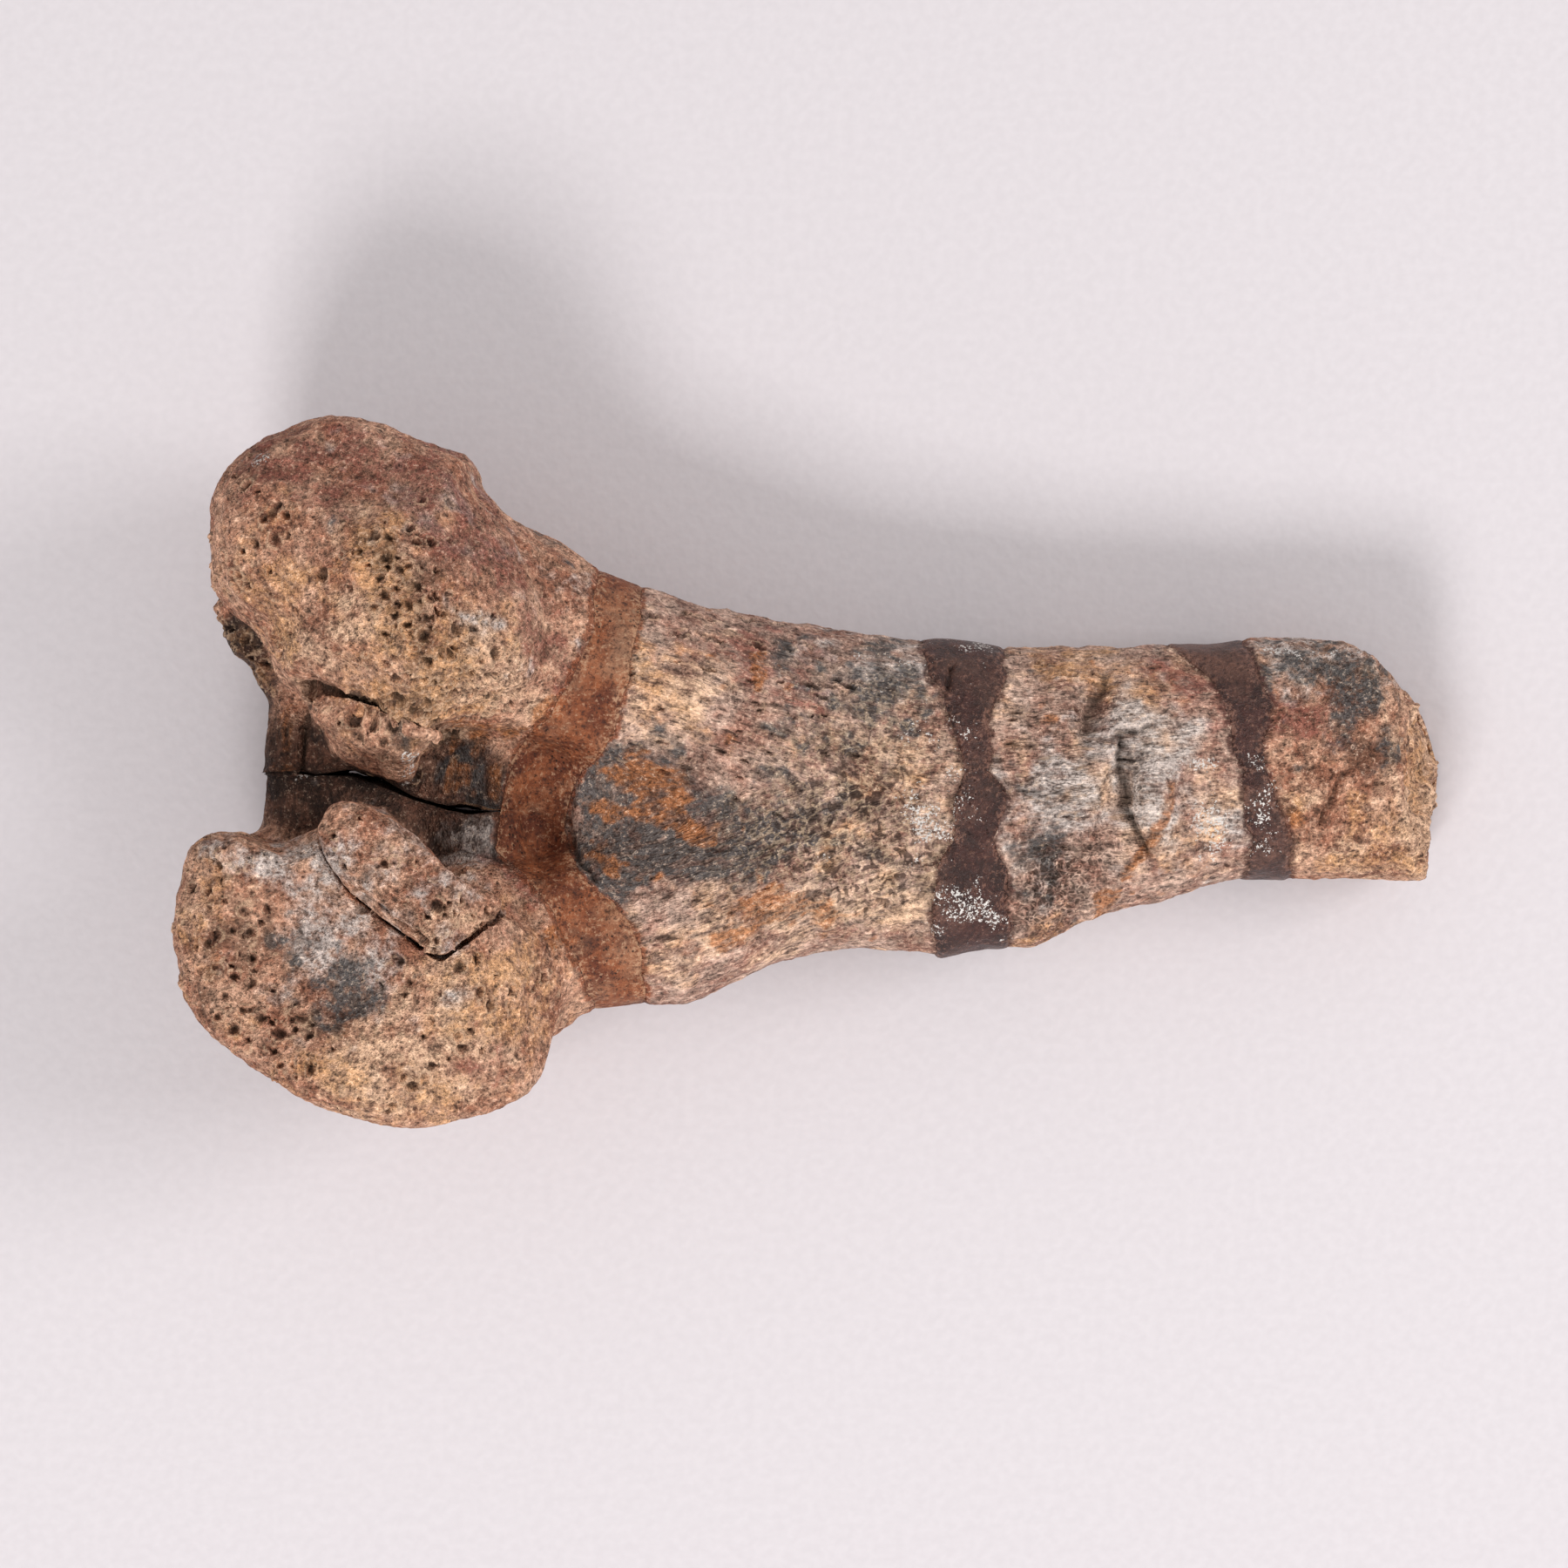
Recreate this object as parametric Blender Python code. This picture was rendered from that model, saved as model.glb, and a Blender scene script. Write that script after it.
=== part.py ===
"""A hadrosaur's tail chevron: a broken fossil bone whose fragments are joined by restoration putty.

The bone lies on its side with its two heads towards -X and the end of its shaft towards +X.
The whole bone is modelled first, from two heads, two rami that join them to the shaft, and the shaft.
Then it is parted into its fragments and fillings along the joints that show on the surface.
"""

import math

import bmesh
import bpy
import numpy as np
from mathutils import Matrix, Vector

MM = 0.001

# Where the middle of the bone's length, which becomes the origin, lies in the outlines below
MIDDLE = (1.25 * MM, 0.0, 0.0)

# Joints between the fragments
GAP = 0.3 * MM
SLANT = 1.35  # a gap's width along X against its width straight across, on the joints' usual slant
POCKET_GAP = 0.42 * MM  # gap round the loose chip, before the corners of its pocket are cut straight
REACH = 60.0 * MM  # how far the parting prisms reach past the bone, upwards and to both sides
PAST_HEADS = -90.0  # a place on X beyond the heads, in millimetres
PAST_TIP = 90.0  # and one beyond the broken end of the shaft

# Mesh density
CURVE_STEPS = 6  # points laid along an outline between two of its own points
VOXEL = 0.7 * MM
SMOOTHING = 0.5  # how far each round of smoothing draws a point towards its neighbours
BONE_ROUNDS = 4
CHIP_ROUNDS = 2
BONE_TRIANGLES = 5800
CHIP_TRIANGLES = 400

# Plan outlines, in millimetres, counter-clockwise
UPPER_HEAD = (
    (-60.5, 9.6), (-57, 8), (-52, 6.5), (-47, 5), (-40, 5), (-34, 6.5), (-30.5, 10), (-29.5, 15),
    (-30.5, 21), (-34.5, 28.5), (-37.4, 32), (-38.6, 35), (-40.3, 36.5), (-45, 38.1), (-50, 40),
    (-55, 40.6), (-60, 39.2), (-64, 37.4), (-67.8, 34), (-69.3, 29), (-69.2, 24), (-68.2, 19.6),
    (-65.6, 17.2), (-63.4, 15.2), (-61.8, 12),
)
LOWER_HEAD = (
    (-57.1, -6.7), (-59.1, -7.7), (-61.1, -7.9), (-64, -7), (-67.5, -6.7), (-70, -7.6), (-71.3, -10),
    (-72.7, -17.2), (-71.7, -23.6), (-69, -29.5), (-64, -33.4), (-59, -37), (-54, -38.8), (-49, -40.2),
    (-45, -40.6), (-39.4, -39.5), (-34.2, -37.7), (-31.8, -36.2), (-30, -32), (-28.7, -27.6), (-29, -23.6),
    (-30.8, -19.7), (-33.5, -16.6), (-37.5, -13.8), (-41.4, -11.6), (-44.4, -8.9), (-47.3, -6.2),
    (-51, -4.4), (-54, -4.6),
)
UPPER_WALL = (
    (-68.6, 20), (-68.8, 18), (-68.1, 14.6), (-66.6, 12.6), (-65.6, 12.9), (-64.4, 10), (-63.2, 8),
    (-63.4, 2), (-63.2, -1.2), (-50, -2.4), (-46, -4), (-42, -5.2), (-33, -5.2), (-31, 4), (-34, 12),
    (-44, 20), (-58, 26),
)
LOWER_WALL = (
    (-62.6, 0.6), (-63.4, -3), (-64.1, -8), (-61.6, -14), (-50, -20), (-36, -20), (-31, -14), (-33, -4),
    (-38, -4), (-43, -3), (-46, -2), (-50, -0.6), (-56, 0.4),
)
LIP = (
    (-58.5, 9.2), (-57.4, 6), (-54.3, 3), (-51.2, 1.1), (-48.6, 0.3), (-45.8, 0.4), (-44.2, 2),
    (-43.6, 3.6), (-46, 7), (-52, 9.4),
)
CHIP = (
    (-55.4, -6.4), (-54, -4.3), (-52, -3.7), (-49.8, -4.2), (-46.6, -5.9), (-43.7, -8.8), (-40.8, -11.7),
    (-36.9, -13.6), (-35, -15.1), (-36, -16.6), (-38.9, -18.5), (-41.8, -20.7), (-43.4, -19.9),
    (-45.8, -18), (-49.6, -15.1), (-52.4, -12.6), (-54.5, -9.2),
)

# How far in from a head's widest outline its side is, at each height, in millimetres
UPPER_SIDE = (
    (-0.8, 16), (0.5, 12), (2.5, 8.4), (5.5, 5.6), (10, 3.2), (15, 1.4), (20, 0.4), (25, 0), (30, 0),
    (35, 1), (40, 3), (44, 6.5), (47, 12),
)
LOWER_SIDE = (
    (-0.8, 16), (0.5, 12.4), (2.5, 9.4), (5.5, 7), (10, 4.7), (15, 3), (20, 1.6), (26, 0.5), (32, 0),
    (35, 0), (38, 0.6), (41, 2), (43.5, 4.5),
)
WALL_SIDE = ((5, 8), (7, 5.6), (11, 3), (16, 1), (21, 0), (24, 0.2), (26, 1.2), (27, 3))
LIP_SIDE = ((22, 2.4), (26, 0.8), (30, 0), (33, 0.3), (35, 1.2), (35.8, 2.6))
CHIP_SIDE = ((36.2, 1.8), (37.4, 0.6), (39, 0), (41.6, 0), (43, 0.4), (44.2, 1.6))
SPOKE_SHARE = 0.8  # an inset takes at most this share of the way to the outline's middle

# How far a head's foot is set off from its widest outline, and the height where that starts, in millimetres
UPPER_LEAN = (3.0, -3.5)
LOWER_LEAN = (4.0, 2.5)
NO_LEAN = (0.0, 0.0)
LEAN_HEIGHT = 25.0

# Planes that cut the heads to their facets: a point on the plane and its outward direction, in millimetres
UPPER_FACETS = (
    ((-46, 16, 46), (-0.24, -0.06, 1.0)),
    ((-50, 30, 43.2), (0.1, 0.72, 0.82)),
    ((-38.5, 15, 44.2), (0.66, 0.05, 0.75)),
    ((-46, 8.5, 42.6), (0.05, -0.6, 0.8)),
)
LOWER_FACETS = (
    ((-52, -20, 42), (-0.06, -0.05, 1.0)),
    ((-42, -32, 40.6), (0.25, -0.42, 0.88)),
    ((-34.5, -24, 39), (0.8, 0.0, 0.6)),
    ((-68, -16, 41.2), (-0.55, 0.1, 0.83)),
)
CHIP_FACETS = (
    ((-46, -12, 43), (0.0, 0.06, 1.0)),
    ((-53, -7, 42.8), (-0.3, 0.3, 0.9)),
    ((-39, -16, 41.6), (0.62, -0.1, 0.78)),
)

# Sections along X, in millimetres: place, lowest y, highest y, lowest z, highest z
UPPER_RAMUS = (
    (-54, 12, 30, 6, 34), (-48, 6, 34.5, 3, 40), (-40, 4, 33.5, 2.5, 40.5), (-34, 3, 28.8, 3, 37),
    (-30, 1, 26.9, 3, 33.2), (-26, -2, 24.4, 3, 30.9), (-20, -4, 22, 2.6, 29.6), (-10, -5, 19, 3, 28.2),
    (0, -3, 16.5, 5, 26.4),
)
LOWER_RAMUS = (
    (-54, -32, -14, 6, 34), (-48, -36, -12, 4, 38), (-40, -37, -10, 3, 38.5), (-34, -34.6, -9, 3, 35),
    (-30.6, -31.2, -8, 3, 32.4), (-27, -28.4, -6, 3, 29.8), (-20, -27.6, -4, 2.6, 28.4),
    (-15, -27.4, -3, 2.6, 28), (-8, -24.4, -3, 3, 27), (0, -20.6, -4, 5, 25.6),
)
SHAFT = (
    (-37, -9, 5, 8, 21), (-35, -12, 9, 6.5, 23.5), (-31, -17, 14, 5, 25), (-25.5, -26.4, 22.6, 3, 26.6),
    (-20, -27.2, 21.8, 2, 28), (-15, -27, 20.4, 1.6, 28.6), (-10, -25, 19, 1.6, 28.6),
    (-5, -23, 17.9, 1.8, 28.4), (0, -21.2, 17.2, 2.2, 28), (5, -20.7, 16.4, 2.4, 27.6),
    (10, -21.6, 15.8, 2.4, 27), (15, -22, 15.5, 2.2, 26.4), (20, -21, 14.9, 2, 26),
    (25.5, -21.1, 14.7, 1.8, 25.6), (31, -18.4, 14.7, 1.4, 25.4), (36, -16.4, 14.9, 1, 25.2),
    (41, -15.5, 15.2, 0.6, 24.6), (46, -13.9, 15, 0.2, 23.8), (51, -13, 15.7, -0.2, 23.2),
    (56, -12.9, 15.9, -0.6, 22.8), (62, -12.9, 15.6, -0.8, 22.4), (68, -12.9, 15, -0.8, 22),
    (77, -12.8, 14, -0.8, 21.6),
)
SQUARENESS = 2.7  # power of the sections' superellipse: 2 is an ellipse
SECTION_SIDES = 44

# The broken end of the shaft: planes that cut it off, as for the facets
BREAK = (
    ((73.7, -6, 9), (0.985, -0.115, 0.1)),
    ((73.4, 3, 9), (0.95, 0.27, 0.12)),
    ((69.3, 10.4, 12), (0.74, 0.65, 0.12)),
    ((64.2, 14.7, 12), (0.41, 0.91, 0.1)),
    ((69.6, -2, 20.4), (0.84, 0.1, 0.5)),
)

# Dents, or swellings where the depth is negative: x, y, reach along x and y, turn in degrees, depth
DENTS = (
    (-57, -20, 13, 10, 0, 3.2),
    (-64, 24, 8, 12, 0, 0.8),
    (-50, 18, 3.4, 10, -8, -0.8),
    (-43, 21, 6, 9, 0, 0.9),
    (-45, -24, 6, 6, 0, 0.7),
    (-56, 9, 4.5, 1.3, -12, 1.6),
    (-50, 6.6, 4.5, 1.2, -22, 1.4),
    (-17, -5.5, 13, 5.5, -4, 3.0),
    (-13, 9, 16, 4.5, -8, -1.0),
    (-12, -17.5, 14, 3.6, 10, -1.0),
    (-31, -7, 4.5, 8, 0, 1.6),
    (4, -19, 9, 3.5, 0, 1.2),
    (24, -15, 7, 6, 0, 1.0),
    (32.4, 7, 1.8, 4.4, 6, 1.1),
    (35.6, -3, 2.0, 7.5, -8, 1.4),
    (39.2, -2.5, 2.2, 4.8, -6, -0.7),
    (39, -9, 6, 1.8, 54, -0.6),
    (31, -10, 6, 6, 0, 1.1),
    (44, 12, 6, 2.4, -8, 1.4),
    (46, -4, 4, 6, 0, 0.7),
    (61, 1, 5, 7, 0, 0.5),
)
BOWL_FALL = 1.4  # how fast a dent shallows towards its reach
UP_GAIN = 1.6  # a dent is full where the surface faces up by at least one over this

# The joints as seen from above, each running from +Y to -Y, in millimetres
FORK_LEFT = (
    (-24.9, 23.4), (-25.2, 16), (-27.4, 11), (-29.9, 6), (-32.8, 4), (-34.8, 1), (-35.8, -4), (-36.3, -9),
    (-32.8, -12), (-29.9, -16), (-27.9, -20), (-26.9, -23), (-25.4, -26.4),
)
FORK_RIGHT = (
    (-19.9, 20.9), (-19.9, 17), (-20.9, 12), (-21.9, 8), (-22.9, 4), (-24.9, 1.5), (-26.9, 0), (-28.4, -4),
    (-28.9, -7), (-27.9, -10), (-25.9, -13), (-22.9, -15), (-20.9, -17.4), (-19.9, -20), (-19.5, -26.4),
)
INNER_LEFT = (
    (12.5, 15), (13, 11), (15, 9), (16, 5), (17, 2), (16.5, -3), (16, -8), (14.5, -11), (13.5, -15),
    (14, -21),
)
INNER_RIGHT = ((22, 14.5), (22, 10), (20.6, 7), (20.2, 0), (22, -3), (20.4, -8), (22, -12), (22.5, -20.5))
OUTER_LEFT = (
    (41.7, 15.1), (45.3, 11.1), (47.3, 8), (48.3, 3), (49.3, 0), (49.8, -4), (50.8, -8), (50.3, -12.6),
)
OUTER_RIGHT = (
    (50.3, 15.1), (51.3, 12.1), (52.8, 8), (52, 4), (52.2, 0), (53.5, -4), (55.3, -8), (55.8, -12.6),
)

# The cleft between the two heads, from its open end to the canal: the line that parts them, and how wide it
# gapes above its floor on each side of that line, in millimetres
CLEFT = (
    (-66, -0.4), (-60, -0.1), (-57, -0.5), (-53.4, -0.1), (-50, -1.1), (-46, -3), (-42, -4.3), (-38, -4.7),
    (-35.4, -4.6),
)
CLEFT_GAPE = (0.35, 0.5, 0.6, 0.7, 0.7, 0.7, 0.8, 0.6, 0.3)
CLEFT_FLOOR = 13.0 * MM
CANAL = (
    (-42.4, -4.3), (-41.4, -3.4), (-38.6, -3.5), (-37, -4.5), (-37.8, -5.7), (-39.6, -5.9), (-41.6, -5.2),
)
CANAL_FLOOR = 4.0 * MM

# Colours (linear), roughness
TAN_BONE = (0.27, 0.17, 0.11, 1.0)
GREY_BONE = (0.22, 0.17, 0.14, 1.0)
ORANGE_PUTTY = (0.20, 0.075, 0.035, 1.0)
MAROON_PUTTY = (0.055, 0.022, 0.018, 1.0)
BONE_ROUGHNESS = 0.85
PUTTY_ROUGHNESS = 0.6


def clear_scene():
    for old in list(bpy.data.objects):
        bpy.data.objects.remove(old, do_unlink=True)


def material(name, colour, roughness):
    made = bpy.data.materials.new(name)
    made.use_nodes = True
    shader = made.node_tree.nodes["Principled BSDF"]
    shader.inputs["Base Color"].default_value = colour
    shader.inputs["Roughness"].default_value = roughness
    shader.inputs["Metallic"].default_value = 0.0
    made.diffuse_color = colour
    return made


def smooth_outline(points):
    """A closed Catmull-Rom curve through the points, in metres."""
    own = np.array(points, float) * MM
    before, after, beyond = np.roll(own, 1, 0), np.roll(own, -1, 0), np.roll(own, -2, 0)
    along = np.arange(CURVE_STEPS)[None, :, None] / CURVE_STEPS
    a, b, c, d = (p[:, None, :] for p in (before, own, after, beyond))
    curve = 0.5 * (
        2 * b + (c - a) * along + (2 * a - 5 * b + 4 * c - d) * along**2 + (3 * b - a - 3 * c + d) * along**3
    )
    return curve.reshape(-1, 2)


def new_object(name, bm):
    mesh = bpy.data.meshes.new(name)
    bm.to_mesh(mesh)
    bm.free()
    made = bpy.data.objects.new(name, mesh)
    bpy.context.scene.collection.objects.link(made)
    return made


def skin_rings(name, rings):
    """Bridges closed rings of points into one closed body and caps both ends."""
    bm = bmesh.new()
    loops = []
    for ring in rings:
        corners = [bm.verts.new(point) for point in ring]
        loops.append([bm.edges.new((p, q)) for p, q in zip(corners, corners[1:] + corners[:1])])
    for low, high in zip(loops, loops[1:]):
        bmesh.ops.bridge_loops(bm, edges=low + high)
    bmesh.ops.holes_fill(bm, edges=loops[0] + loops[-1])
    bmesh.ops.recalc_face_normals(bm, faces=bm.faces)
    return new_object(name, bm)


def pebble(name, outline, side, lean=NO_LEAN):
    """A plan outline carried upwards, drawn in towards its middle by the side's inset at each height."""
    curve = smooth_outline(outline)
    middle = curve.mean(axis=0)
    spoke = curve - middle
    length = np.linalg.norm(spoke, axis=1, keepdims=True)
    rings = []
    for height, inset in side:
        ring = curve - spoke / length * np.minimum(inset * MM, SPOKE_SHARE * length)
        ring = ring + np.array(lean) * MM * max(0, 1 - height / LEAN_HEIGHT) ** 2
        rings.append([(x, y, height * MM) for x, y in ring])
    return skin_rings(name, rings)


def superellipse(steps):
    """Unit section: y and z round a ring, squarer than a circle."""
    turn = np.linspace(0, 2 * math.pi, steps, endpoint=False)
    power = 2 / SQUARENESS
    return (
        np.sign(np.cos(turn)) * np.abs(np.cos(turn)) ** power,
        np.sign(np.sin(turn)) * np.abs(np.sin(turn)) ** power,
    )


def limb(name, stations):
    """Superellipse sections along X, one for each station."""
    across, up = superellipse(SECTION_SIDES)
    rings = []
    for x, y_low, y_high, z_low, z_high in stations:
        y = (y_low + y_high) / 2 + across * (y_high - y_low) / 2
        z = (z_low + z_high) / 2 + up * (z_high - z_low) / 2
        rings.append([(x * MM, q * MM, r * MM) for q, r in zip(y, z)])
    return skin_rings(name, rings)


def cut_by_planes(body, planes):
    """Cuts away what lies outside each plane and closes the cut with a flat face."""
    for point, outward in planes:
        bm = bmesh.new()
        bm.from_mesh(body.data)
        cut = bmesh.ops.bisect_plane(
            bm,
            geom=bm.verts[:] + bm.edges[:] + bm.faces[:],
            plane_co=Vector(point) * MM,
            plane_no=Vector(outward).normalized(),
            clear_outer=True,
        )
        rim = [item for item in cut["geom_cut"] if isinstance(item, bmesh.types.BMEdge)]
        bmesh.ops.holes_fill(bm, edges=rim)
        bmesh.ops.recalc_face_normals(bm, faces=bm.faces)
        bm.to_mesh(body.data)
        bm.free()


def apply_modifiers(body):
    graph = bpy.context.evaluated_depsgraph_get()
    finished = bpy.data.meshes.new_from_object(body.evaluated_get(graph))
    body.modifiers.clear()
    body.data = finished


def boolean(body, other, operation):
    cut = body.modifiers.new(operation.title(), "BOOLEAN")
    cut.operation = operation
    cut.solver = "EXACT"
    cut.object = other
    apply_modifiers(body)
    bpy.data.objects.remove(other, do_unlink=True)


def voxel_skin(body, rounds):
    """One even skin over the joined shapes, with the creases between them rounded off."""
    skin = body.modifiers.new("Skin", "REMESH")
    skin.mode = "VOXEL"
    skin.voxel_size = VOXEL
    smooth = body.modifiers.new("Smooth", "SMOOTH")
    smooth.factor = SMOOTHING
    smooth.iterations = rounds
    apply_modifiers(body)


def dent(points, facing, places):
    """Lowers the points that face up, by a smooth bowl round each place."""
    up = np.clip(facing[:, 2] * UP_GAIN, 0, 1)
    for x, y, reach_x, reach_y, turn, depth in places:
        angle = math.radians(turn)
        dx, dy = points[:, 0] - x * MM, points[:, 1] - y * MM
        along = (dx * math.cos(angle) + dy * math.sin(angle)) / (reach_x * MM)
        across = (dy * math.cos(angle) - dx * math.sin(angle)) / (reach_y * MM)
        bowl = np.exp(-(along**2 + across**2) * BOWL_FALL)
        points[:, 2] -= depth * MM * bowl * up


def carve(body):
    mesh = body.data
    points = np.empty(len(mesh.vertices) * 3)
    mesh.vertices.foreach_get("co", points)
    points = points.reshape(-1, 3)
    facing = np.empty(len(mesh.vertices) * 3)
    mesh.vertex_normals.foreach_get("vector", facing)
    dent(points, facing.reshape(-1, 3), DENTS)
    mesh.vertices.foreach_set("co", points.ravel())
    mesh.update()


def thin_out(body, triangles):
    """Fewer triangles where the surface is plain, and as many as before where it turns."""
    less = body.modifiers.new("Thin", "DECIMATE")
    less.ratio = triangles / (2 * len(body.data.polygons))
    apply_modifiers(body)


def whole_bone():
    bone = pebble("bone", UPPER_HEAD, UPPER_SIDE, UPPER_LEAN)
    cut_by_planes(bone, UPPER_FACETS)
    second = pebble("second_head", LOWER_HEAD, LOWER_SIDE, LOWER_LEAN)
    cut_by_planes(second, LOWER_FACETS)
    shaft = limb("shaft", SHAFT)
    cut_by_planes(shaft, BREAK)
    others = (
        second,
        pebble("upper_wall", UPPER_WALL, WALL_SIDE),
        pebble("lower_wall", LOWER_WALL, WALL_SIDE),
        pebble("lip", LIP, LIP_SIDE),
        limb("upper_ramus", UPPER_RAMUS),
        limb("lower_ramus", LOWER_RAMUS),
        shaft,
    )
    for other in others:
        boolean(bone, other, "UNION")
    voxel_skin(bone, BONE_ROUNDS)
    carve(bone)
    thin_out(bone, BONE_TRIANGLES)
    banks = [(x, y + gape) for (x, y), gape in zip(CLEFT, CLEFT_GAPE)]
    banks += [(x, y - gape) for (x, y), gape in zip(CLEFT[::-1], CLEFT_GAPE[::-1])]
    boolean(bone, prism("cleft", banks, low=CLEFT_FLOOR), "DIFFERENCE")
    boolean(bone, prism("canal", CANAL, low=CANAL_FLOOR), "DIFFERENCE")
    return bone


def loose_chip(head, finish):
    """A flake of the lower head's facet, lying in the pocket that it left."""
    chip = pebble("facet_chip", CHIP, CHIP_SIDE)
    cut_by_planes(chip, CHIP_FACETS)
    voxel_skin(chip, CHIP_ROUNDS)
    thin_out(chip, CHIP_TRIANGLES)
    chip.data.materials.append(finish)
    middle = np.mean(CHIP, axis=0)
    spokes = np.array(CHIP) - middle
    grown = middle + spokes * (1 + POCKET_GAP / MM / np.linalg.norm(spokes, axis=1, keepdims=True))
    floor = CHIP_SIDE[0][0] * MM - GAP
    boolean(head, prism("pocket", grown, low=floor), "DIFFERENCE")


def prism(name, plan, low=0.0, high=REACH):
    """A plan polygon, in millimetres, made a straight wall from one height to another."""
    rings = [[(x * MM, y * MM, z) for x, y in plan] for z in (low, high)]
    return skin_rings(name, rings)


def shifted(line, along_x=0.0, along_y=0.0):
    return [(x + along_x, y + along_y) for x, y in line]


def stretched(line):
    """A joint that runs from +Y to -Y, carried on straight past both edges of the bone."""
    far = REACH / MM
    return [(line[0][0], far), *line, (line[-1][0], -far)]


def strip(left, right):
    """The plan between two joints, each side half a gap in."""
    half = 0.5 * GAP / MM * SLANT
    return shifted(stretched(left), half) + shifted(stretched(right), -half)[::-1]


def fragment(name, bone, plan, finish, low=0.0, high=REACH):
    piece = bone.copy()
    piece.data = bone.data.copy()
    piece.name = name
    bpy.context.scene.collection.objects.link(piece)
    boolean(piece, prism(name + "_prism", plan, low, high), "INTERSECT")
    piece.name = name
    piece.data.materials.clear()
    piece.data.materials.append(finish)
    return piece


def head_plan(side):
    """The plan of one head, 1 upper or -1 lower: in along the cleft, then out along the fork's filler."""
    half = 0.5 * GAP / MM * SLANT
    far = REACH / MM
    bank = shifted([(PAST_HEADS, CLEFT[0][1]), *CLEFT[:-1]], 0, side * half)
    joint = [point for point in FORK_LEFT if side * (point[1] - CLEFT[-1][1]) > 0][::-side]
    meeting = (np.interp(-CLEFT[-1][1], [-y for _, y in FORK_LEFT], [x for x, _ in FORK_LEFT]), bank[-1][1])
    return bank + shifted([meeting, *joint, (joint[-1][0], side * far)], -half) + [(PAST_HEADS, side * far)]


def main():
    clear_scene()
    tan = material("tan_bone", TAN_BONE, BONE_ROUGHNESS)
    grey = material("grey_bone", GREY_BONE, BONE_ROUGHNESS)
    orange = material("orange_putty", ORANGE_PUTTY, PUTTY_ROUGHNESS)
    maroon = material("maroon_putty", MAROON_PUTTY, PUTTY_ROUGHNESS)
    bone = whole_bone()
    fragment("head_upper", bone, head_plan(1), tan)
    lower = fragment("head_lower", bone, head_plan(-1), tan)
    loose_chip(lower, tan)
    fragment("fork_putty", bone, strip(FORK_LEFT, FORK_RIGHT), orange)
    fragment("shaft_root", bone, strip(FORK_RIGHT, INNER_LEFT), grey)
    fragment("band_inner", bone, strip(INNER_LEFT, INNER_RIGHT), maroon)
    fragment("shaft_middle", bone, strip(INNER_RIGHT, OUTER_LEFT), grey)
    fragment("band_outer", bone, strip(OUTER_LEFT, OUTER_RIGHT), maroon)
    end = [(PAST_TIP, y) for _, y in OUTER_RIGHT]
    fragment("shaft_tip", bone, strip(OUTER_RIGHT, end), tan)
    bpy.data.objects.remove(bone, do_unlink=True)
    for piece in bpy.context.scene.objects:
        piece.data.transform(Matrix.Translation(-Vector(MIDDLE)))


main()
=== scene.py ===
"""A hadrosaur's tail chevron on a pale table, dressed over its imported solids.

The fragments and fillings are joined to one skin, which gets its lumps, pits, pores, folds and cracks.
It is then parted again along the same joints, now ragged, so that neighbours still meet exactly.
Places in plan are in millimetres, on the level plane where the camera sees them.
"""

import math

import bmesh
import bpy
import numpy as np
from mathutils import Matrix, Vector


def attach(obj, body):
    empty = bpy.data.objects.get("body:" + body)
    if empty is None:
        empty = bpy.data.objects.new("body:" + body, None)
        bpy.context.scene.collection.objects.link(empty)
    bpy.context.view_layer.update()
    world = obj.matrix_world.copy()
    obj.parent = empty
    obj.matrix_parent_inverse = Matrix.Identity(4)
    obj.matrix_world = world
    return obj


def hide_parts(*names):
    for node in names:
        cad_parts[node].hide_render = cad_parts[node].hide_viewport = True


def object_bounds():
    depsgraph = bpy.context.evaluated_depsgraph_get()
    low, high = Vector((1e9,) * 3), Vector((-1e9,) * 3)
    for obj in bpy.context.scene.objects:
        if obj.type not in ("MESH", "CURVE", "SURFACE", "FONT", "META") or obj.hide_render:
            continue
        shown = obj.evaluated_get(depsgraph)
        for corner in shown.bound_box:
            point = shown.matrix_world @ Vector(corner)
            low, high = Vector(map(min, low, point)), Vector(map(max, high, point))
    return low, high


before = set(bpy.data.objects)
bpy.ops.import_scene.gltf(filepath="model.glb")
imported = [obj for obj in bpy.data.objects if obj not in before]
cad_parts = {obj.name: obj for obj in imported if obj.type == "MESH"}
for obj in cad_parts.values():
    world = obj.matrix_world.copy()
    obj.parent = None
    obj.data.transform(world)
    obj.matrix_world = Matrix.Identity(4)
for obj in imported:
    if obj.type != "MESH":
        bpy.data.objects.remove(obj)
cad_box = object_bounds()

MM = 0.001

# Camera: it looks straight down
EYE = np.array((-4.75, -1.5, 600.0))  # its place, in millimetres
LENS = 115.0
SENSOR = 36.0
PLAN_HEIGHT = 25.0  # the level plane on which plan places are measured
PLAN_SHIFT = 1.25  # plan places are measured along X from this far left of the frame's origin

# Skin
VOXEL = 0.31
SWELL = 0.22  # more than half a gap between two solids
SMOOTH_ROUNDS = 14
CHIP_VOXEL = 0.22
CHIP_ROUNDS = 10
CHIP_SWELL = 0.46  # narrows the crack round the chip

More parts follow.
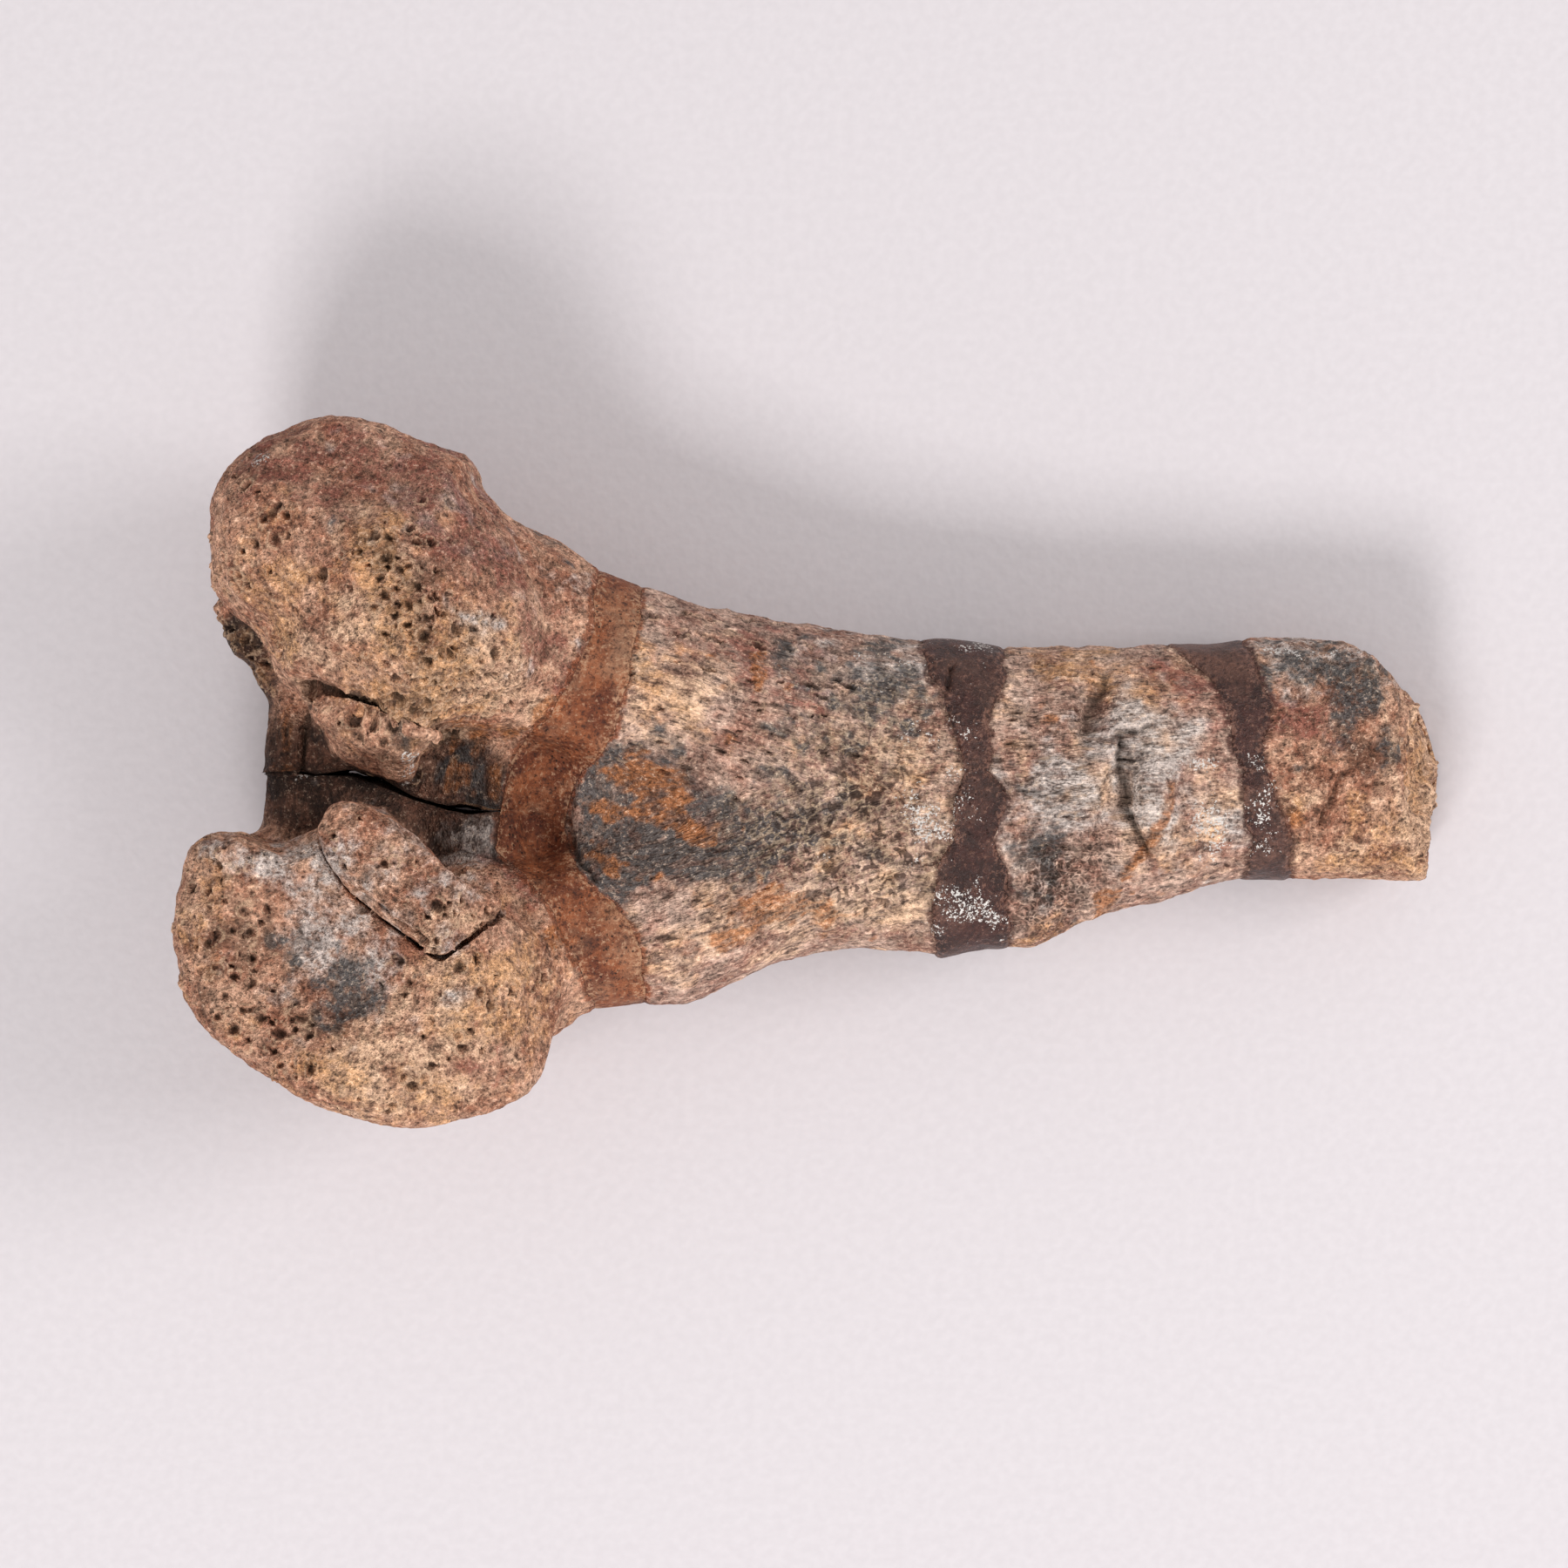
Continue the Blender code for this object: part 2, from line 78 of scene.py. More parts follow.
# Joints in plan, each running from +Y to -Y
FORK_LEFT = (
    (-24.9, 23.4), (-25.2, 16), (-27.4, 11), (-29.9, 6), (-32.8, 4), (-34.8, 1), (-35.8, -4), (-36.3, -9),
    (-32.8, -12), (-29.9, -16), (-27.9, -20), (-26.9, -23), (-25.4, -26.4),
)
FORK_RIGHT = (
    (-19.9, 20.9), (-19.9, 17), (-20.9, 12), (-21.9, 8), (-22.9, 4), (-24.9, 1.5), (-26.9, 0), (-28.4, -4),
    (-28.9, -7), (-27.9, -10), (-25.9, -13), (-22.9, -15), (-20.9, -17.4), (-19.9, -20), (-19.5, -26.4),
)
INNER_LEFT = (
    (12.5, 15), (13, 11), (15, 9), (16, 5), (17, 2), (16.5, -3), (16, -8), (14.5, -11), (13.5, -15),
    (14, -21),
)
INNER_RIGHT = (
    (22, 14.5), (22, 10), (20.6, 7), (20.2, 0), (22, -3), (20.4, -8), (22, -12), (22.5, -20.5),
)
OUTER_LEFT = (
    (41.7, 15.1), (45.3, 11.1), (47.3, 8), (48.3, 3), (49.3, 0), (49.8, -4), (50.8, -8), (50.3, -12.6),
)
OUTER_RIGHT = (
    (50.3, 15.1), (51.3, 12.1), (52.8, 8), (52, 4), (52.2, 0), (53.5, -4), (55.3, -8), (55.8, -12.6),
)
CLEFT = (
    (-66, -0.4), (-60, -0.1), (-57, -0.5), (-53.4, -0.1), (-50, -1.1), (-46, -3), (-42, -4.3), (-38, -4.7),
    (-35.4, -4.6), (-20, -4.6),
)
PATCH_FALL = 0.85  # patches of stain and pores are half as strong at their reach
RAGGED = ((2.6, 0.55), (1.1, 0.3), (0.55, 0.14))  # a joint's waver: size and reach
SIDE = 90.0  # how far the parting blocks reach to each side
PULL = 5.0  # how far from the cleft's middle its walls are drawn together
SIDE_GRID = np.arange(-60, 60, 0.4)  # the parting blocks' grid across the bone and upwards
RISE_GRID = np.arange(-6, 60, 1.0)

# Relief in millimetres: at its half width a groove or ridge is down to 0.37 of its depth or height
PIT_DEPTH = 0.95
JOINT_DEPTH = 0.2
JOINT_HALF = 0.35
RIDGE_HEIGHT = 0.45
RIDGE_HALF = 0.55
FIBRE_SLOPE = 0.33  # how fast the fibres drift to the shaft's middle line
FIBRE_STRETCH = 2.0  # the fibres come out up to 1 + this times as long as the grain elsewhere
SHARP_ANGLE = 70  # degrees: edges sharper than this stay sharp


def hashed(cell, seed):
    """An even random number from 0 to 1 for each whole-numbered cell, whose numbers are mixed bit by bit."""
    whole = cell.astype(np.int64).astype(np.uint32)
    mixed = whole[..., 0] * np.uint32(73856093) ^ whole[..., 1] * np.uint32(19349663)
    mixed = mixed ^ whole[..., 2] * np.uint32(83492791) ^ np.uint32(seed * 7919 + 17)
    for shift, factor in ((16, 0x7FEB352D), (15, 0x846CA68B), (16, 1)):
        mixed = (mixed ^ (mixed >> np.uint32(shift))) * np.uint32(factor)
    return mixed / 2.0**32


def cloud(points, size, seed):
    """Smooth noise from -1 to 1 with lumps of one size: the random numbers of a cell's corners, blended."""
    place = points / size
    cell = np.floor(place)
    share = place - cell
    share = share * share * (3 - 2 * share)
    total = np.zeros(len(points))
    for corner in np.ndindex(2, 2, 2):
        weight = np.prod(np.where(corner, share, 1 - share), axis=1)
        total += weight * hashed(cell + corner, seed)
    return 2 * total - 1


# Turns space, so that the grids of finer and coarser clouds don't line up
TURN = np.array(((0.36, 0.48, -0.8), (-0.8, 0.6, 0.0), (0.48, 0.64, 0.6)))


def fractal(points, size, seed, octaves=4):
    """Clouds of halving size and reach, each turned against the last, from about -1 to 1."""
    total, reach = 0.0, 0.55
    for step in range(octaves):
        total = total + reach * cloud(points, size, seed + step)
        points, size, reach = points @ TURN, size * 0.5, reach * 0.55
    return total


def cells(points, size, seed):
    """Distances to the nearest and next of one random point per cell, in cells, and the nearest's number."""
    place = points / size
    home = np.floor(place)
    near = np.full(len(points), 9.0)
    next_near = near.copy()
    number = near.copy()
    for step in np.ndindex(3, 3, 3):
        cell = home + np.array(step) - 1
        centre = cell + np.stack([hashed(cell, seed + axis) for axis in range(3)], axis=1)
        gap = np.linalg.norm(centre - place, axis=1)
        closer = gap < near
        next_near = np.where(closer, near, np.minimum(next_near, gap))
        number = np.where(closer, hashed(cell, seed + 3), number)
        near = np.where(closer, gap, near)
    return near, next_near, number


def rise(low, high, value):
    """0 below low, 1 above high, and a smooth step between."""
    share = np.clip((value - low) / (high - low), 0, 1)
    return share * share * (3 - 2 * share)


def turned(points, degrees, stretch):
    """Points turned against a direction and shortened along it, so that what is cut there comes out long."""
    angle = math.radians(degrees)
    along = (points[:, 0] * math.cos(angle) + points[:, 1] * math.sin(angle)) / stretch
    across = points[:, 1] * math.cos(angle) - points[:, 0] * math.sin(angle)
    return np.stack((along, across, points[:, 2]), axis=1)


def plan(points):
    """Where the camera sees each point on the level plane, by similar triangles."""
    share = (EYE[2] - PLAN_HEIGHT) / (EYE[2] - points[:, 2:])
    seen = EYE[:2] + (points[:, :2] - EYE[:2]) * share
    return seen + (PLAN_SHIFT, 0)


def spots(seen, rows, fall=1.4):
    """Soft ovals laid over each other: 1 - the product of (1 - strength * exp(-fall * r^2)) over the rows."""
    left = np.ones(len(seen))
    for x, y, reach_x, reach_y, turn, strength in rows:
        angle = math.radians(turn)
        dx, dy = seen[:, 0] - x, seen[:, 1] - y
        along = (dx * math.cos(angle) + dy * math.sin(angle)) / reach_x
        across = (dy * math.cos(angle) - dx * math.sin(angle)) / reach_y
        left *= 1 - strength * np.exp(-fall * (along**2 + across**2))
    return 1 - left


def from_line(seen, line):
    """Distance in plan to a line of points."""
    nearest = np.full(len(seen), 99.0)
    for start, end in zip(line, line[1:]):
        start, way = np.array(start), np.subtract(end, start)
        share = np.clip((seen - start) @ way / (way @ way), 0, 1)
        nearest = np.minimum(nearest, np.linalg.norm(seen - start - share[:, None] * way, axis=1))
    return nearest


def wall(line, across, up, seed):
    """Place of a ragged joint at each (across, up): the line's own place plus clouds of its waver.

    The fork's two joints, with the seeds 1 and 2, waver 0.6 times as much as the others.
    """
    places = np.array(line, float)
    own = np.interp(-across, -places[:, 1], places[:, 0]) - PLAN_SHIFT
    spot = np.stack((np.full(across.size, 50.0 * seed), across.ravel(), up.ravel()), axis=1)
    for size, reach in RAGGED:
        own = own + reach * (0.6 if seed < 3 else 1.0) * cloud(spot, size, seed).reshape(across.shape)
    return own


def cleft_wall(along, up):
    """The cleft's middle: its y at each (along, up)."""
    places = np.array(CLEFT, float)
    return np.broadcast_to(np.interp(along + PLAN_SHIFT, places[:, 0], places[:, 1]), up.shape)


# Each joint's line and its random seed
JOINTS = {
    "fork_left": (FORK_LEFT, 1), "fork_right": (FORK_RIGHT, 2), "inner_left": (INNER_LEFT, 3),
    "inner_right": (INNER_RIGHT, 4), "outer_left": (OUTER_LEFT, 5), "outer_right": (OUTER_RIGHT, 6),
}

# The two joints that each piece lies between
PIECES = {
    "fork_putty": ("fork_left", "fork_right"), "shaft_root": ("fork_right", "inner_left"),
    "band_inner": ("inner_left", "inner_right"), "shaft_middle": ("inner_right", "outer_left"),
    "band_outer": ("outer_left", "outer_right"), "shaft_tip": ("outer_right", None),
}
FILLINGS = ("fork_putty", "band_inner", "band_outer")

# Relief in plan: x, y, reach along x and y, turn in degrees, height in millimetres
SWELLINGS = (
    (-47.2, 1.6, 1.8, 1.3, 20, 0.5), (-58, 9, 1.1, 0.9, 0, -1.6), (-60, 11, 3, 1.2, -50, 0.4),
    (-51.5, 5.4, 7, 2.4, -20, 1.7), (-44.5, 5.5, 3, 2.2, 0, 2.2), (-40.5, -8.5, 3.2, 3.6, -20, 2.0),
    (-53.5, 7.8, 4.5, 1.8, -25, 2.2), (-48, 5.6, 3.5, 1.8, -25, 2.4), (-61, 21, 6.5, 8, 10, -1.0),
    (-39, 26, 8, 4, -35, -1.0), (-50, 34, 12, 4, 0, -0.6), (-38, 9, 6, 4, 20, -0.5),
    (-51.5, 26, 2.6, 5, -42, 0.9), (-47.2, 15, 2.2, 8, 8, 0.8), (-33.5, 14, 2, 8, 12, 0.4),
    (-57, 13, 3, 2, -40, 0.4), (-54.5, -27.5, 3.5, 2.0, 20, -0.8), (-62, -31, 6, 3, -40, 0.6),
    (-57, -17, 8, 7, 20, -0.9), (-68, -20, 3, 9, 8, 0.6), (-46, -35, 10, 3, 12, 0.5),
    (-42, -25, 4, 6, -10, 0.6), (-34, -25, 2, 7, 0, 0.5), (-66, -9.5, 4, 1.6, 0, 0.5),
    (-18, -4, 8, 5.5, -6, -0.8), (-15, 8, 8, 3.5, -18, 0.7), (-14, -15, 9, 3, 16, 0.6),
    (2, 12, 9, 3, -12, -0.5), (4, -18, 6, 3, 8, 0.5), (60, 10, 6, 4, 0, -0.4), (61, -3, 7, 7, 0, 0.4),
    (28, -11, 6, 6, 0, -0.5), (-31, -8, 2.6, 4.5, 0, -0.9), (-22.8, -16.4, 1.5, 1.0, 30, 0.7),
    (-29, -13.5, 2.5, 3, 30, 0.3), (-21, 16, 2.0, 5, 0, 0.35), (-23, 6, 1.6, 5, 10, 0.35),
    (-27, -4, 1.4, 6, 0, 0.3), (-20, -20, 1.6, 5, 0, 0.35), (-25, 2, 2.2, 1.5, 40, 0.4),
    (36.2, 7.4, 2.0, 3.2, 25, 0.55), (38.4, -1.6, 1.7, 4.2, -6, 0.7), (29.5, 10.5, 4, 3, 0, 0.4),
    (42.5, 1.2, 2.2, 1.2, 0, 0.35), (46, -6.5, 2.5, 3.5, 0, 0.3), (33.8, -3.5, 1.7, 6, -8, -0.6),
    (39, -2.5, 2.2, 5.5, -8, 0.5), (31, 8.5, 1.5, 4, 0, -0.4), (16.5, -16, 3, 3, 0, 0.25),
    (18, 6, 2, 5, 0, 0.15), (51.5, 0, 1.3, 4, -10, 0.3),
)
# Grooves: half width, depth, then the line
GROOVES = (
    (0.5, 1.5, ((-59, 9.2), (-55.4, 9.5), (-52.5, 8.4), (-49.6, 6.6), (-47.4, 5.4))),
    (0.45, 1.1, ((-58.5, 8), (-58.3, 5), (-58.9, 2), (-58.4, 0))),
    (0.35, 0.7, ((-52.2, -15.3), (-50, -15.9), (-48.4, -17.4), (-46.6, -18.3), (-45, -19.6))),
    (0.4, 0.7, ((-28.8, -5.5), (-28.2, -8), (-27, -10), (-25.5, -12.5))),
    (0.7, 0.8, ((33.4, 11.5), (32.6, 9.4), (31.9, 7), (31.8, 4.5))),
    (0.45, 0.7, ((34.3, 3.4), (35.8, 4.6), (37.4, 4.7), (38.8, 5.6))),
    (0.6, 1.0, ((35.3, 3.6), (35.2, 1.6), (35.7, -1), (36.1, -4), (36.8, -6.6), (38, -9.4))),
    (0.8, 1.2, ((-57.5, -0.8), (-54, -0.9), (-50, -1.8), (-46, -3.2), (-43, -4.2))),
    (0.4, 0.4, ((24, -2.4), (28, -2.7), (31.5, -2.1))),
    (0.35, 0.35, ((26, 1.6), (29, 1.2), (33, 1.7))),
    (0.32, 0.8, ((58.3, -6.3), (58.6, -4.5), (59.4, -2.7), (60.6, -1), (61.9, 0.3))),
    (0.3, 0.6, ((63.4, -1.6), (65.2, -1.4))),
    (0.3, 0.6, ((66.2, -3.4), (66.5, -5.5))),
    (0.35, 0.6, ((15.5, 12), (15.4, 9.6))),
    (0.5, 0.5, ((-70, -12.2), (-67.5, -11.6), (-65, -12))),
    (0.5, 0.4, ((-38, 27), (-41, 24), (-45, 21.5))),
)
ORANGE_RIDGE = ((40.8, -1.5), (40.2, -6), (37.8, -9.3), (35.4, -12.6), (33.5, -15.5), (31, -18))
END_RIM = ((63.5, 12.4), (66, 5), (66.6, 0), (67.8, -5), (69, -12.5))

# Where the bone is open, in plan: x, y, reach along x and y, turn, strength. Pits of the heads come first,
# then sponge, grains, and the long pores and fibres that fall, rise and run level to the right.
PITTED = (
    (-49, 24, 5, 5, 0, 0.75), (-46, 15, 5, 8, 0, 0.85), (-40, 11, 6, 5, 0, 0.6), (-47, 8, 6, 3, 0, 0.75),
    (-66, 22, 4, 8, 0, 0.5), (-62, 30, 3, 3, 0, 0.3), (-65, 14, 3, 3, 0, 0.5), (-52, 5, 5, 2, -20, 0.3),
    (-67.5, -19, 4.5, 8, 10, 0.75), (-68, -11, 3.5, 2, 0, 0.6), (-61, -29, 6, 4, -30, 0.7),
    (-50, -34, 8, 3, 0, 0.5), (-45, -23, 4, 3.5, 0, 0.6), (-39, -29, 4, 4, 0, 0.45),
    (-41, -16, 3, 3, 0, 0.6), (-50, -10, 5, 3, -40, 0.35), (-33, -24, 3, 4, 0, 0.3),
)
SPONGE = (
    (-44, 12, 8, 6, 0, 0.5), (-49, 22, 5, 5, 0, 0.4), (28, -12.5, 5.5, 6.5, 0, 1.0),
    (25, -17, 5, 3, 0, 0.8), (33, -9, 3, 4, 0, 0.7), (12, 5, 5, 6, 0, 0.35), (-42, -27, 6, 6, 0, 0.3),
)
GRANULAR = (
    (4, -5, 9, 8, 0, 0.9), (9, 2, 7, 7, 0, 0.7), (-3, -8, 6, 5, 0, 0.9), (10, -10, 6, 6, 0, 0.8),
    (3, 6, 6, 5, 0, 0.4), (5, -14, 8, 5, 0, 0.8),
)
LONG_PORES = (
    (-17, 6, 7, 4.5, -15, 0.9), (-9, 3.5, 6, 4, -20, 0.9), (-3, 2, 5, 3.5, -20, 0.7),
    (-13, 12, 9, 4, -12, 0.35), (0, 9, 6, 4, -15, 0.3),
)
LOW_FIBRES = (
    (-13, -16, 10, 4, 18, 0.7), (-16, -22, 9, 4, 12, 0.5), (-3, -13, 6, 2.5, 18, 0.5),
)
LEVEL_FIBRES = (
    (27, 2, 7, 9, 0, 0.9), (31, 9, 6, 5, 0, 0.5), (-12, 17, 12, 3, -10, 0.5), (27, -3, 5, 5, 0, 0.7),
)
PORE_SIZE = 0.8
# Long pores: where, their direction in degrees, how drawn out they are, the random seed, and their depth
PORE_RUNS = ((LONG_PORES, -20, 3.4, 72, 0.8), (LOW_FIBRES, 17, 4.0, 82, 0.6), (LEVEL_FIBRES, 1, 3.2, 92, 0.7))

# Stains in plan: x, y, reach along x and y, turn, strength
STAINS = {
    "cream": (
        (-38, 12, 7, 7, 0, 0.9), (-45, 5, 5, 2.5, 0, 0.5), (-40, -26, 8, 9, 0, 0.8),
        (-48, -35, 10, 5, 0, 0.6), (-68, -15, 4, 6, 0, 0.4), (-16, 9, 7, 5, -15, 0.9),
        (-22, 14, 3, 5, 0, 0.6), (45.5, 12.8, 4.5, 2.4, -20, 0.9), (-14, -19, 9, 4, 14, 0.7),
        (8, -16, 8, 5, 0, 0.6), (10, 5, 7, 9, 0, 0.45), (44, -3, 5, 8, 0, 0.65), (60, -7, 9, 5, 0, 0.6),
        (71, 0, 3, 14, 0, 0.9), (30, 13, 8, 3, 0, 0.4), (44.5, 13.5, 4, 2, -20, 0.9), (33, 0, 6, 6, 0, 0.5),
        (-3, -17, 8, 3, 0, 0.6), (-31, 20, 3, 6, 30, 0.3), (-58, 14, 6, 4, 0, 0.35),
        (38, -3, 3, 7, -8, 0.5), (-52, 20, 5, 8, 0, 0.3),
    ),
    "ochre": (
        (-50, 25, 4.5, 4, -30, 0.8), (-46, 15, 5, 9, -10, 0.7), (-41, 12, 6, 5, 20, 0.7),
        (-45, 7, 7, 3, 0, 0.6), (-61, 20, 8, 9, 0, 0.45), (-55, 13, 8, 3, 0, 0.4), (-39, -28, 7, 8, 0, 0.6),
        (-52, -36, 11, 4, -6, 0.6), (-69, -18, 4, 9, 0, 0.5), (-33.5, -24, 3, 6, 0, 0.7),
        (-19, 8, 5, 7, 10, 0.5), (4, -5, 10, 8, 0, 0.4), (-16, -19, 8, 4, 12, 0.4), (60, -7, 9, 5, 0, 0.4),
        (71, -2, 3, 12, 0, 0.4), (30, 11, 7, 4, 0, 0.5), (30, -18.5, 9, 2, 12, 0.7),
        (41.5, 9, 4, 4, 0, 0.5), (41.5, -9, 4, 4, 0, 0.4),
    ),
    "wine": (
        (-50, 34.5, 14, 5, 0, 0.6), (-41, 29, 8, 7, -25, 0.65), (-37, 24, 6, 5, -40, 0.55),
        (-61, 36, 8, 4, 20, 0.45), (-29, 13, 3, 6, 20, 0.9), (-28.5, 10.5, 2, 3, 0, 0.7),
        (-7, 13, 7, 3.5, -15, 0.75), (-1, 9.5, 5, 4, -20, 0.5), (-14.3, -20.6, 2, 1.4, 0, 0.7),
        (56, 5.8, 5, 2.4, 0, 0.95), (62, 8, 4, 2, 0, 0.4), (42, 11.2, 4.5, 2.0, -18, 0.9),
        (47, 9, 3, 3, 0, 0.5), (-39, -33.5, 6, 2.6, 18, 0.6), (-33, -14, 4, 4, 30, 0.7),
        (-58, 26, 5, 6, 0, 0.35), (48, 10, 3, 3, 0, 0.4),
    ),
    "rust": (
        (-61, 4.5, 1.2, 2.6, 0, 0.8), (-61, 1, 1, 1.5, 0, 0.5), (-30.5, 6.8, 3.0, 1.5, 38, 0.95),
        (-36, 3.5, 3, 1.6, 20, 0.5), (-41.6, 1.5, 0.6, 3, 5, 0.8), (-38, 4.2, 3, 0.8, -10, 0.6),
        (-36.3, -0.5, 0.7, 3, 8, 0.7), (-30, -19, 1.6, 2.2, 20, 1.0), (-19, -1.5, 5, 2, -14, 1.0),
        (-23.5, -10.5, 3.5, 1.6, -35, 0.9), (-16.5, -5.8, 6, 1.1, -12, 0.95), (-21, -5, 5, 0.8, -6, 0.85),
        (-13, -7.6, 3, 0.8, -8, 0.8), (-9, 12.5, 5, 3.5, -30, 0.3), (-17.5, -11.8, 2, 1.2, 0, 0.4),
        (-5, -15.5, 5.5, 2.6, 10, 0.95), (-10, -19, 4, 2, 10, 0.55), (2, -17, 4, 1.8, -5, 0.6),
        (-8.5, 4, 1.5, 1.0, 0, 0.6), (-4, 11.5, 4, 2, -15, 0.35), (33.3, -15.3, 2.4, 1.4, 52, 1.0),
        (37.5, -10, 2, 1, 50, 0.6), (55.3, -5.3, 1.0, 1.6, 20, 1.3), (41, -3.5, 0.8, 3, 0, 0.5),
        (31.8, 11, 0.7, 3, 0, 0.6), (27, 7, 0.8, 2.5, 0, 0.4), (-40.5, 2, 5, 4, 0, 0.25),
        (-52, 19, 4, 3, 0, 0.2), (-53, -9, 3, 2, 0, 0.2),
    ),
    "ash": (
        (-57, -17, 7, 6, 20, 0.75), (-53, -22, 7, 5, 0, 0.5), (-65, -10, 5, 2.2, -22, 0.9),
        (-59, -9.5, 5, 2.5, 0, 0.6), (57, 13, 8, 3.4, -5, 1.0), (38.6, -1, 2.6, 6, -8, 0.85),
        (36.5, 7, 3.4, 3.2, 20, 0.75), (29, -1, 7, 5, 0, 0.6), (45.5, -5, 4.5, 6, 0, 0.6),
        (30, -2, 6, 7, 0, 0.7), (38, 3, 4, 4, 0, 0.8), (43, 4, 4, 4, 0, 0.5), (5, 12.5, 8, 3.2, -8, 0.55),
        (-47, -11, 9, 4.5, -40, 0.25), (-40, -9, 3, 3, 0, 0.8), (-44, 31, 9, 5, -28, 0.35),
        (-37, 15, 4, 5, 0, 0.35), (-42, -22, 4, 6, 0, 0.3), (10, 13, 4, 2.5, 0, 0.5),
        (-55, -33, 6, 2, -10, 0.35), (26, -8, 5, 5, 0, 0.4), (-26, 18, 3, 4, 0, 0.3),
        (44, 14, 6, 1.4, 0, 0.6),
    ),
    "slate": (
        (-20, -4.5, 8.5, 6, -4, 1.0), (-8, -6.5, 7, 4, -8, 0.85), (-25, -5, 4, 6, 0, 0.95),
        (6, 10, 9, 5, -8, 0.8), (4, 3, 7, 4, 0, 0.5), (3, -5, 9, 6, 0, 0.45), (-12, -7.5, 6.5, 4, -5, 0.9),
        (-23.5, 1, 2.6, 1.8, 30, 0.8), (-16, -10.5, 7, 2.4, 5, 0.9), (-4, -8.5, 5, 4, -15, 0.6),
        (-40, 0.8, 2.8, 3, 0, 0.9), (-36.8, -2, 2.5, 1.5, 0, 0.5), (58, 11.3, 8, 4.2, -4, 1.0),
        (63.5, 9, 3.5, 3, 0, 0.9), (-54, -26.5, 5.5, 3.2, 18, 0.95), (-58, -21, 5, 3, 0, 0.35),
        (27, -10, 5, 5, 0, 0.5), (25, -15, 4, 3, 0, 0.4), (24.5, 3, 3, 8, 0, 0.3),
        (-26.5, -10, 1.5, 4, 20, 0.6), (-53, 29, 4, 3, 0, 0.3), (-28, 26.5, 5, 2, -25, 0.5),
        (-47, 3.6, 4, 1.6, -10, 0.5), (64, 3, 4, 3, 0, 0.35), (56, -2, 3, 3, 0, 0.3),
        (0, 13.5, 6, 1.6, -8, 0.4),
    ),
    "soot": (
        (-66, -19, 5, 6, 0, 0.6), (-57, -30, 7, 3, 18, 0.5), (-47, 22, 5, 4, 0, 0.4),
        (-49, 7, 6, 2.5, -15, 0.8), (-57, 9.5, 3, 1.5, 0, 0.7), (63, 2, 4, 4, 0, 0.6),
        (-43, 8, 5, 4, 0, 0.3), (-66, 15, 3, 4, 0, 0.5), (-52, 3.5, 5, 2, -20, 0.4),
        (-70, -26, 3, 4, 0, 0.4), (28, -12, 5, 6, 0, 0.4), (32.2, 7.5, 1, 3.5, 0, 0.7),
        (36, -2, 1.1, 6, -8, 0.6), (-13, -1, 4, 2, -20, 0.3), (-66, 30, 3, 4, 0, 0.25),
        (13, -13, 1.6, 6, 0, 0.3), (-47, -12, 9, 5, -40, 0.4), (-50, 26, 5, 2.5, -35, 0.5),
        (-45, 15, 2, 6, 0, 0.5), (4, -3, 10, 8, 0, 0.6), (10, -10, 6, 6, 0, 0.4),
    ),
    "chalk": (
        (17.5, -15.5, 3.6, 2.6, -12, 1.0), (20, -17, 3, 1.4, 0, 0.8), (17, 6, 2.2, 1.6, -20, 0.7),
        (19, 14.2, 3.5, 0.8, 0, 0.9), (43.6, 0.9, 2.2, 0.9, 0, 1.0), (45.5, -6, 2.6, 3.4, 20, 0.95),
        (51, 0.6, 1.2, 1.2, 0, 0.8), (51.6, -4.5, 1.4, 3, -15, 0.7), (53, -9, 2, 1.6, 0, 0.5),
        (12.5, -5, 2.6, 6, 0, 0.75), (11.5, 7, 3, 3, 0, 0.5), (-63.5, 36.2, 1.4, 0.8, 15, 1.0),
        (-46.6, 1.4, 1.5, 1.2, 0, 0.9), (-58.6, -2.2, 1.5, 0.8, 20, 0.9), (-61.3, -1.6, 1, 0.6, 0, 0.7),
        (1.4, -10, 1.5, 0.8, 0, 0.9), (18, -2, 2.4, 10, 0, 0.35), (55, 14.2, 6, 0.8, -4, 0.8),
        (9, 13, 4, 0.9, -12, 0.6), (-67, -9, 3, 1.4, -15, 0.45), (33.5, 12.2, 2, 1, 0, 0.4),
        (67.4, -3, 0.8, 5, -8, 0.6), (-40, -11, 2, 1, 0, 0.3), (14, -19, 2, 1, 0, 0.4),
    ),
}
# How coarse each stain breaks up, how wide its soft edge is, and how much of it the hidden sides have
STAIN_GRAIN = {
    "cream": (3.2, 0.5, 0.35), "ochre": (3.6, 0.5, 0.35), "wine": (2.8, 0.5, 0.35),
    "rust": (1.9, 0.25, 0.2), "ash": (2.8, 0.5, 0.3), "slate": (2.4, 0.3, 0.22),
    "soot": (1.6, 0.35, 0.2), "chalk": (1.8, 0.4, 0.05),
}


def joint_gap(points, joint):
    """How far right of a ragged joint each point is, in millimetres along X."""
    line, seed = JOINTS[joint]
    return points[:, 0] - wall(line, points[:, 1], points[:, 2], seed)


def between(points, name, soft):
    """1 between a piece's two joints and 0 beyond them, with edges of a given softness."""
    left, right = PIECES[name]
    return rise(-soft, soft, joint_gap(points, left)) * rise(-soft, soft, -joint_gap(points, right))


